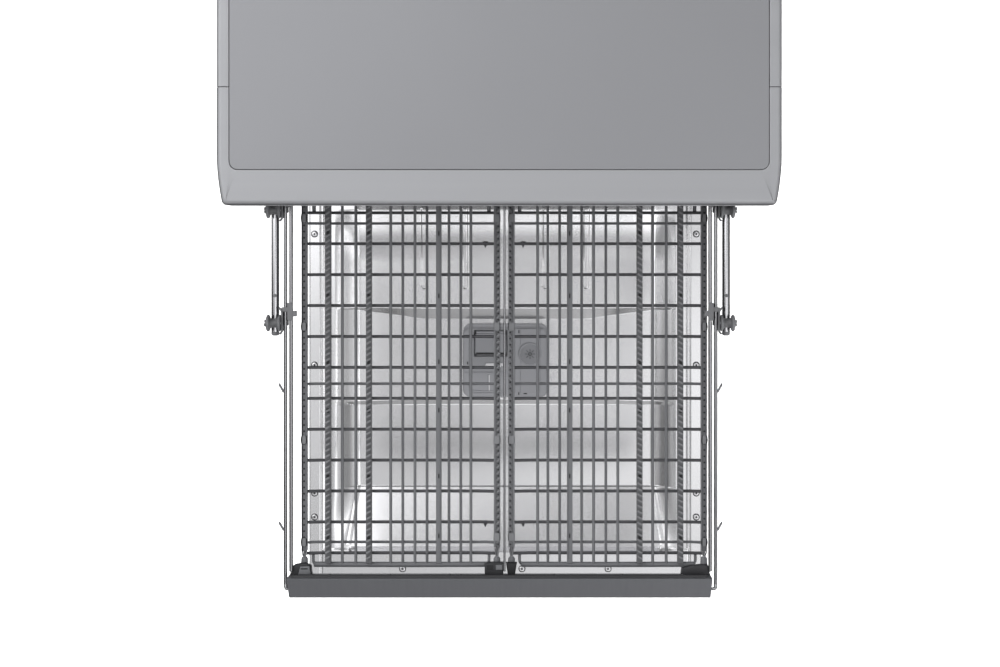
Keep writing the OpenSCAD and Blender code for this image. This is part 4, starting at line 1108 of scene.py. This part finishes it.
def tub():
    lo, hi = mm("tub_wrap")
    w, zt, r = 272.1, hi[2] - 1.2, 18.0
    m = Mesh()
    prof = []
    for z in np.concatenate([np.linspace(lo[2], zt - r, 56)]):
        prof.append((w, float(z), 1, 0))
    for a in np.linspace(6, 84, 8):
        prof.append((w - r + r * math.cos(math.radians(a)), zt - r + r * math.sin(math.radians(a)), math.cos(math.radians(a)), math.sin(math.radians(a))))
    top = [(float(x), zt, 0, 1) for x in np.linspace(w - r, -(w - r), 34)]
    left = [(-x, z, -nx, nz) for x, z, nx, nz in reversed(prof)]
    full = prof + top + left
    ds = np.concatenate([[70.6, 71.0, 72.6], np.linspace(78, 562, 66), [566, 568.5, 570]])
    rows = []
    for d in ds:
        row = []
        for x, z, nx, nz in full:
            # pressed beads on the walls
            q = 0.0
            if abs(nx) > 0.99:
                for zc in (258.0, 352.0, 446.0, 540.0, 664.0):
                    q += 1.9 * math.exp(-((z - zc) / 5.5) ** 4) * float(smooth(min(d - 110, 530 - d) / 14.0))
            row.append(P(x - nx * q, float(d), z - nz * q))
        rows.append(row)
    m.grid(rows)
    rows2 = [[rows[i][j] + Vector((full[j][2], 0, full[j][3])) * 0.001 for j in range(len(full))] for i in range(len(ds))]
    m.grid(rows2)
    m.grid([rows[0], rows2[0]])
    # turned rim round the mouth
    lip = [p + Vector((full[j][2] * 0.004, 0, full[j][3] * 0.0005)) for j, p in enumerate(rows[0])]
    m.grid([rows[0], lip])
    m.slab([(-271.5, 761.3), (271.5, 761.3), (271.5, 777.6), (-271.5, 777.6)], 70.5, 72.3, r=0.4, seg=2, plane="xz")
    m.make("tub_shell", [M["tub"]], "cabinet", ["tub_wrap"], flat=False)

    lo, hi = mm("tub_back")
    m = Mesh()
    rows = []
    for z in np.linspace(lo[2], hi[2], 60):
        row = []
        for x in np.linspace(lo[0], hi[0], 60):
            e = float(smooth((min(x - lo[0], hi[0] - x, z - lo[2], hi[2] - z)) / 16.0))
            q = 1.6 * math.exp(-(((abs(x) - 150) / 26.0) ** 6)) * float(smooth(min(z - 250, 690 - z) / 14.0))
            row.append(P(float(x), lo[1] + 0.9 - 0.7 * (1 - e) - q * e, float(z)))
        rows.append(row)
    m.grid(rows)
    m.grid([[p + Vector((0, 0.0010, 0)) for p in r] for r in rows])
    m.make("tub_rear_wall", [M["tub"]], "cabinet", ["tub_back"], flat=False)

    lo, hi = mm("tub_floor")
    m = Mesh()
    xs = np.unique(np.concatenate([np.linspace(-271.8, 271.8, 60), [-100.0, 100.0]]))
    ds = np.unique(np.concatenate([np.linspace(lo[1], hi[1], 56), [194.0, 406.0]]))
    pts = {}
    idx = {}
    for i, d in enumerate(ds):
        for j, x in enumerate(xs):
            near = max(abs(x) - 100, 194 - d, d - 406, 0)
            z = hi[2] - 0.1 - 1.2 * float(smooth((16 - near) / 16.0)) + 3.5 * float(smooth((abs(x) - 250) / 20.0))
            idx[(i, j)] = len(pts)
            pts[len(pts)] = P(float(x), float(d), z)
    faces = []
    for i in range(len(ds) - 1):
        for j in range(len(xs) - 1):
            cx, cd = (xs[j] + xs[j + 1]) / 2, (ds[i] + ds[i + 1]) / 2
            if abs(cx) < 100 and 194 < cd < 406:
                continue
            faces.append((idx[(i, j)], idx[(i, j + 1)], idx[(i + 1, j + 1)], idx[(i + 1, j)]))
    m.add([pts[k] for k in range(len(pts))], faces)
    m.add([pts[k] - Vector((0, 0, 0.0011)) for k in range(len(pts))], faces)
    m.make("tub_base", [M["tub"]], "cabinet", ["tub_floor"], flat=False)

    lo, hi = mm("tub_gasket")
    m = Mesh()
    path = bend([P(275, 67, 166.5), P(275, 67, 756.2), P(-275, 67, 756.2), P(-275, 67, 166.5)], 7, 6)
    m.tube(path, 4.1, 14)
    for s in (-1, 1):
        m.box(min(s * 271.4, s * 279), max(s * 271.4, s * 279), 68.5, 71.3, 166.5, 756, r=0.8, seg=2)
        m.tube([P(s * 271.6, 64.6, 168), P(s * 271.6, 64.6, 752)], 0.9, 8)
    m.box(-279, 279, 68.5, 71.3, 752.5, 760.6, r=0.8, seg=2)
    m.make("mouth_seal", [M["rubber"]], "cabinet", ["tub_gasket"])


tub()


def spray_arm(node, body, xc, dc, hub=True):
    lo, hi = mm(node)
    half = (hi[0] - lo[0]) / 2
    z0, z1 = lo[2], hi[2]
    m = Mesh()
    zb = z0 + (z1 - z0) * 0.35
    t = min(8.5, (z1 - zb) * 0.55)
    out = []
    n = 40
    pts = []
    for k in range(n + 1):
        x = -half + 2 * half * k / n
        wd = 13 + 14 * math.exp(-(x / 60.0) ** 2) + 3.0 * math.cos(x / half * 3.0)
        wd *= math.sqrt(max(0.0, 1 - (abs(x) / half) ** 6)) if abs(x) < half else 0.0
        pts.append((x, wd))
    outline = [(xc + x, dc - wd) for x, wd in pts[1:-1]] + [(xc + x, dc + wd) for x, wd in reversed(pts[1:-1])]
    outline = [(xc - half, dc)] + outline[:n - 1] + [(xc + half, dc)] + outline[n - 1:]
    m.slab(outline, zb, zb + t, r=2.0, seg=3)
    for k, x in enumerate((-0.93, -0.80, -0.64, -0.48, -0.33, 0.28, 0.42, 0.57, 0.73, 0.88)):
        dd = dc + (5.0 if k % 2 else -5.0)
        m.lathe(P(xc + x * half, dd, 0), "z", [(zb + t - 0.2, 4.2), (zb + t + 0.9, 3.6), (zb + t + 1.1, 2.6), (zb + t + 0.3, 1.6), (zb + t + 0.3, 0)], 18, mat=0)
        # each nozzle bore is a near-black disc: painted shade
        m.lathe(P(xc + x * half, dd, 0), "z", [(zb + t + 0.32, 1.5), (zb + t + 0.42, 1.4), (zb + t + 0.42, 0)], 12, mat=1)
    m.lathe(P(xc, dc, 0), "z", [(z0, 13), (z0 + 1, 14.6), (zb, 17), (zb + t, 19), (zb + t + 1.4, 17.5), (z1 - 0.8, 12.6), (z1, 11.4), (z1, 9.0)], 44, mat=0)
    for k in range(6):
        a = math.radians(60 * k)
        m.tube([P(xc + 13 * math.cos(a), dc + 13 * math.sin(a), zb + t + 1.2), P(xc + 17.6 * math.cos(a), dc + 17.6 * math.sin(a), zb + t + 0.6)], 0.9, 6)
    m.make(node + "_detail", [M["arm"], M["near_black_and_recess_shade"]], body, [node])


def arm_centre(node):
    lo, hi = mm(node)
    return (lo[0] + hi[0]) / 2, (lo[1] + hi[1]) / 2


for nm in ("lower_spray_arm", "upper_spray_arm", "top_spray_arm"):
    spray_arm(nm, nm, *arm_centre(nm))


def filters():
    lo, hi = mm("filter_plate")
    m = Mesh()
    outer = rrect(lo[0], hi[0], lo[1], hi[1], 30, 8)
    # flat ring sheet with the two openings, built as fans between the outline and each hole
    xs = np.linspace(lo[0] + 0.5, hi[0] - 0.5, 84)
    ds = np.linspace(lo[1] + 0.5, hi[1] - 0.5, 84)
    idx, pts, faces = {}, [], []
    for i, d in enumerate(ds):
        for j, x in enumerate(xs):
            r1, r2 = math.hypot(x, d - 255), math.hypot(x, d - 335)
            X2, D2 = x, d
            if 20 < r1 < 34.5 and r1 < 33.0 + 1.6:
                X2, D2 = x / r1 * 33.2, 255 + (d - 255) / r1 * 33.2
            if 12 < r2 < 18.3:
                X2, D2 = x / r2 * 17.2, 335 + (d - 335) / r2 * 17.2
            idx[(i, j)] = len(pts)
            z = hi[2] - 0.4 - 1.1 * math.exp(-((r1 - 33) / 9.0) ** 2)
            pts.append(P(X2, D2, z))
    for i in range(len(ds) - 1):
        for j in range(len(xs) - 1):
            cx, cd = (xs[j] + xs[j + 1]) / 2, (ds[i] + ds[i + 1]) / 2
            if math.hypot(cx, cd - 255) < 31.6 or math.hypot(cx, cd - 335) < 15.8:
                continue
            faces.append((idx[(i, j)], idx[(i, j + 1)], idx[(i + 1, j + 1)], idx[(i + 1, j)]))
    m.add(pts, faces)
    m.add([p - Vector((0, 0, 0.0011)) for p in pts], faces)
    m.make("filter_mesh_plate", [M["filter"]], "cabinet", ["filter_plate"], flat=False)

    lo, hi = mm("filter_cup")
    c = P((lo[0] + hi[0]) / 2, (lo[1] + hi[1]) / 2, 0)
    r = (hi[0] - lo[0]) / 2
    m = Mesh()
    m.lathe(c, "z", [(hi[2] - 3.6, r), (hi[2] - 0.8, r), (hi[2], r - 0.8), (hi[2], r - 4.6), (hi[2] - 1.0, r - 5.4), (lo[2] + 7, r - 6.4), (lo[2] + 3.2, r - 8.4), (lo[2] + 3.0, 0)], 56, mat=0)
    m.lathe(c, "z", [(hi[2] - 3.6, r - 0.2), (hi[2] - 5.0, r - 3.2), (lo[2] + 5, r - 4.6), (lo[2] + 0.4, r - 7.0), (lo[2], r - 9), (lo[2], 0)], 56, mat=1)
    for k in range(16):
        a = math.radians(22.5 * k)
        m.tube([c + Vector((math.cos(a) * (r - 3.4) / 1000, math.sin(a) * (r - 3.4) / 1000, (hi[2] - 5) / 1000)),
                c + Vector((math.cos(a) * (r - 4.9) / 1000, math.sin(a) * (r - 4.9) / 1000, (lo[2] + 5) / 1000))], 1.1, 6, mat=0)
    m.make("filter_cup_basket", [M["cup"], M["filter"]], "filter_cup", ["filter_cup"])


filters()


def works():
    # sump
    lo, hi = mm("sump")
    m = Mesh()
    c = P(0, 300, 0)
    m.lathe(c, "z", [(101, 0), (100.6, 50), (101, 74), (103.5, 79.6), (108, 82), (118, 82), (119, 79.5), (140, 80.0), (158, 81.0), (160, 82), (162, 82), (162, 76), (150, 74), (112, 70), (109, 60), (108, 0)], 64, mat=0)
    for k in range(16):
        a = math.radians(22.5 * k + 8)
        m.tube([c + Vector((math.cos(a) * 0.0795, math.sin(a) * 0.0795, 0.119)), c + Vector((math.cos(a) * 0.0800, math.sin(a) * 0.0800, 0.157))], 1.6, 6)
    b = P(0, 335, 0)
    m.lathe(b, "z", [(109, 13.5), (150, 12.6), (183.2, 12.0), (183.4, 8.6), (207, 8.4), (208, 7.8), (208, 0)], 40, mat=0)
    m.make("sump_body", [M["duct"]], "cabinet", ["sump"])
    # circulation pump
    lo, hi = mm("circulation_pump")
    dc, zc = (lo[1] + hi[1]) / 2, (lo[2] + hi[2]) / 2
    r = (hi[2] - lo[2]) / 2
    x0, x1 = lo[0], hi[0]
    m = Mesh()
    c = P(0, dc, zc)
    prof = [(x0, 0), (x0, r * 0.42), (x0 + 5, r * 0.5), (x0 + 8, r * 0.82), (x0 + 12, r * 0.95), (x0 + 44, r * 0.98), (x0 + 46, r), (x0 + 54, r), (x0 + 56, r * 0.93)]
    x = x0 + 60
    while x < x1 - 16:
        prof += [(x, r * 0.90), (x + 1.5, r * 0.94), (x + 4.0, r * 0.94), (x + 5.5, r * 0.90)]
        x += 8.5
    prof += [(x1 - 12, r * 0.9), (x1 - 9, r * 0.8), (x1 - 3, r * 0.72), (x1, r * 0.62), (x1, 0)]
    m.lathe(c, "x", prof, 56, mat=0)
    for k in range(8):
        a = math.radians(45 * k + 12)
        q = Vector((0, math.cos(a), math.sin(a))) * (r * 0.93) / 1000
        m.lathe(P(0, dc, zc) + q, "x", [(x0 + 43, 3.4), (x0 + 57, 3.4), (x0 + 57.6, 2.8), (x0 + 57.6, 0)], 12, mat=1)
    m.tube(bend([P(x0 + 26, dc - 20, zc + r * 0.5), P(x0 + 26, dc - 44, zc + r * 0.62), P(x0 + 20, dc - 52, zc + r * 0.62)], 12, 6), 11, 20, mat=0)
    m.make("circulation_pump_motor", [M["motor"], M["zinc"]], "cabinet", ["circulation_pump"])
    lo, hi = mm("drain_pump")
    dc, zc, r = (lo[1] + hi[1]) / 2, (lo[2] + hi[2]) / 2, (hi[2] - lo[2]) / 2
    m = Mesh()
    m.lathe(P(0, dc, zc), "x", [(lo[0], 0), (lo[0], r * 0.9), (lo[0] + 3, r), (lo[0] + 22, r), (lo[0] + 25, r * 0.86), (lo[0] + 27, r * 0.66), (hi[0] - 8, r * 0.66), (hi[0] - 5, r * 0.6), (hi[0] - 4, r * 0.3), (hi[0], r * 0.28), (hi[0], 0)], 44, mat=0)
    for k in range(10):
        x = lo[0] + 30 + k * 3.6
        m.lathe(P(0, dc, zc), "x", [(x, r * 0.66), (x + 0.3, r * 0.74), (x + 1.5, r * 0.74), (x + 1.8, r * 0.66)], 36, mat=1)
    m.make("drain_pump_body", [M["white"], M["motor"]], "cabinet", ["drain_pump"])
    lo, hi = mm("flow_heater")
    cx, cd, r = (lo[0] + hi[0]) / 2, (lo[1] + hi[1]) / 2, (hi[0] - lo[0]) / 2
    z0, z1 = lo[2], hi[2]
    m = Mesh()
    m.lathe(P(cx, cd, 0), "z", [(z0, 20.6), (z0, r - 3), (z0 + 3, r), (z0 + 11, r), (z0 + 13, r - 2.4), (z1 - 13, r - 2.4), (z1 - 11, r), (z1 - 3, r), (z1, r - 3), (z1, 20.6), (z1 - 4, 20.2), (z0 + 4, 20.2), (z0, 20.6)], 56, mat=0)
    for z in (z0 + 20, (z0 + z1) / 2, z1 - 20):
        ring = [P(cx + (r - 1.6) * math.cos(t), cd + (r - 1.6) * math.sin(t), z) for t in np.linspace(0, 2 * math.pi, 48, endpoint=False)]
        m.tube(ring, 1.5, 8, mat=1, closed=True)
    m.make("flow_heater_body", [M["motor"], M["zinc"]], "cabinet", ["flow_heater"])
    # inlet valve and drain outlet with their spigots
    for node, mat, slotname in (("inlet_valve", "white", "valve_white"), ("drain_outlet", "duct", "duct_plastic")):
        lo, hi = mm(node)
        cx = (lo[0] + hi[0]) / 2
        zc = 90.0
        r = 13.2 if node == "inlet_valve" else 9.5
        m = Mesh()
        m.box(lo[0], hi[0], lo[1], hi[1] - 31.7, lo[2], hi[2], r=3.0, seg=3, mat=0)
        m.box(lo[0] + 6, hi[0] - 6, lo[1] - 1, hi[1] - 33.5, lo[2] + 6, hi[2] - 6, r=2.0, seg=2, mat=1)
        prof = [(hi[1] - 31.7, r * 1.22), (hi[1] - 29.8, r * 1.22), (hi[1] - 29.2, r)]
        y = hi[1] - 24
        while y < hi[1] - 5:
            prof += [(y, r * 0.93), (y + 2.4, r), (y + 2.8, r * 0.93)]
            y += 5.2
        prof += [(hi[1] - 1.5, r * 0.97), (hi[1], r * 0.86), (hi[1], r * 0.62), (hi[1] - 12, r * 0.58), (hi[1] - 12, 0)]
        m.lathe(P(cx, 0, zc), "d", prof, 40, mat=0)
        m.make(node + "_body", [M[mat], M["motor"]], "cabinet", [node])
    # feed pipe
    lo, hi = mm("feed_pipe")
    m = Mesh()
    m.slab(rrect(-29.5, 29.5, 555.4, 569.4, 5.5, 5), 165.4, 764, r=1.0, seg=2, mat=0)
    m.slab(rrect(-19.6, 19.6, 305.5, 569, 5, 5), 764.4, 777.4, r=2.2, seg=3, mat=0)
    for z in range(200, 750, 46):
        m.slab(rrect(-30.4, 30.4, 554.6, 569.5, 6, 5), z, z + 3.2, r=0.6, seg=1, mat=0)
    m.lathe(P(0, 320, 0), "z", [(749.3, 0), (749.3, 9.6), (750.2, 10.4), (752.0, 10.4), (752.1, 7.9), (764.6, 7.9)], 36, mat=0)
    # T-piece to the upper arm
    m.make("feed_duct", [M["duct"]], "cabinet", ["feed_pipe"])
    # balance springs
    lo, hi = mm("door_springs")
    m = Mesh()
    for s in (-1, 1):
        pts = []
        turns = 44
        for k in range(turns * 12 + 1):
            t = k / (turns * 12)
            a = 2 * math.pi * turns * t
            pts.append(P(s * 283 + 6.9 * math.cos(a), 140 + 130 * t, 84 + 6.9 * math.sin(a)))
        m.tube(pts, 1.05, 6)
        for d0, d1 in ((140, 131), (270, 279)):
            m.tube(bend([P(s * 283 + 6.9, d0, 84), P(s * 283, d0 + (d1 - d0) * 0.35, 84), P(s * 283, d1, 84), P(s * 283, d1, 79)], 3, 4), 1.05, 8)
    m.make("balance_coils", [M["zinc"]], "cabinet", ["door_springs"], flat=False)


works()


def wheels():
    for node in ("lower_wheels_front", "lower_wheels_rear"):
        lo, hi = mm(node)
        d, z = (lo[1] + hi[1]) / 2, (lo[2] + hi[2]) / 2
        r = (hi[2] - lo[2]) / 2
        m = Mesh()
        for s in (-1, 1):
            a, b = 256.2, 267.2
            m.lathe(P(0, d, z), "x", [(s * a, r - 3.4), (s * (a + 0.7), r - 0.8), (s * (a + 2), r), (s * (b - 2), r), (s * (b - 0.7), r - 0.8), (s * b, r - 3.4),
                                      (s * (b - 2.6), r - 4.2), (s * (b - 2.6), 7.4), (s * (b - 0.6), 6.6), (s * (b - 0.6), 3.4)], 52)
            m.lathe(P(0, d, z), "x", [(s * a, r - 3.4), (s * (a + 2.6), r - 4.2), (s * (a + 2.6), 7.4), (s * (a + 0.6), 6.6), (s * (a + 0.6), 3.4)], 52)
            for k in range(5):
                t = math.radians(72 * k + 18)
                m.tube([P(s * (b - 2.2), d + 6.5 * math.cos(t), z + 6.5 * math.sin(t)), P(s * (b - 2.2), d + (r - 4) * math.cos(t), z + (r - 4) * math.sin(t))], 1.2, 8)
        m.make(node + "_rims", [M["wheel"]], node, [node])


wheels()
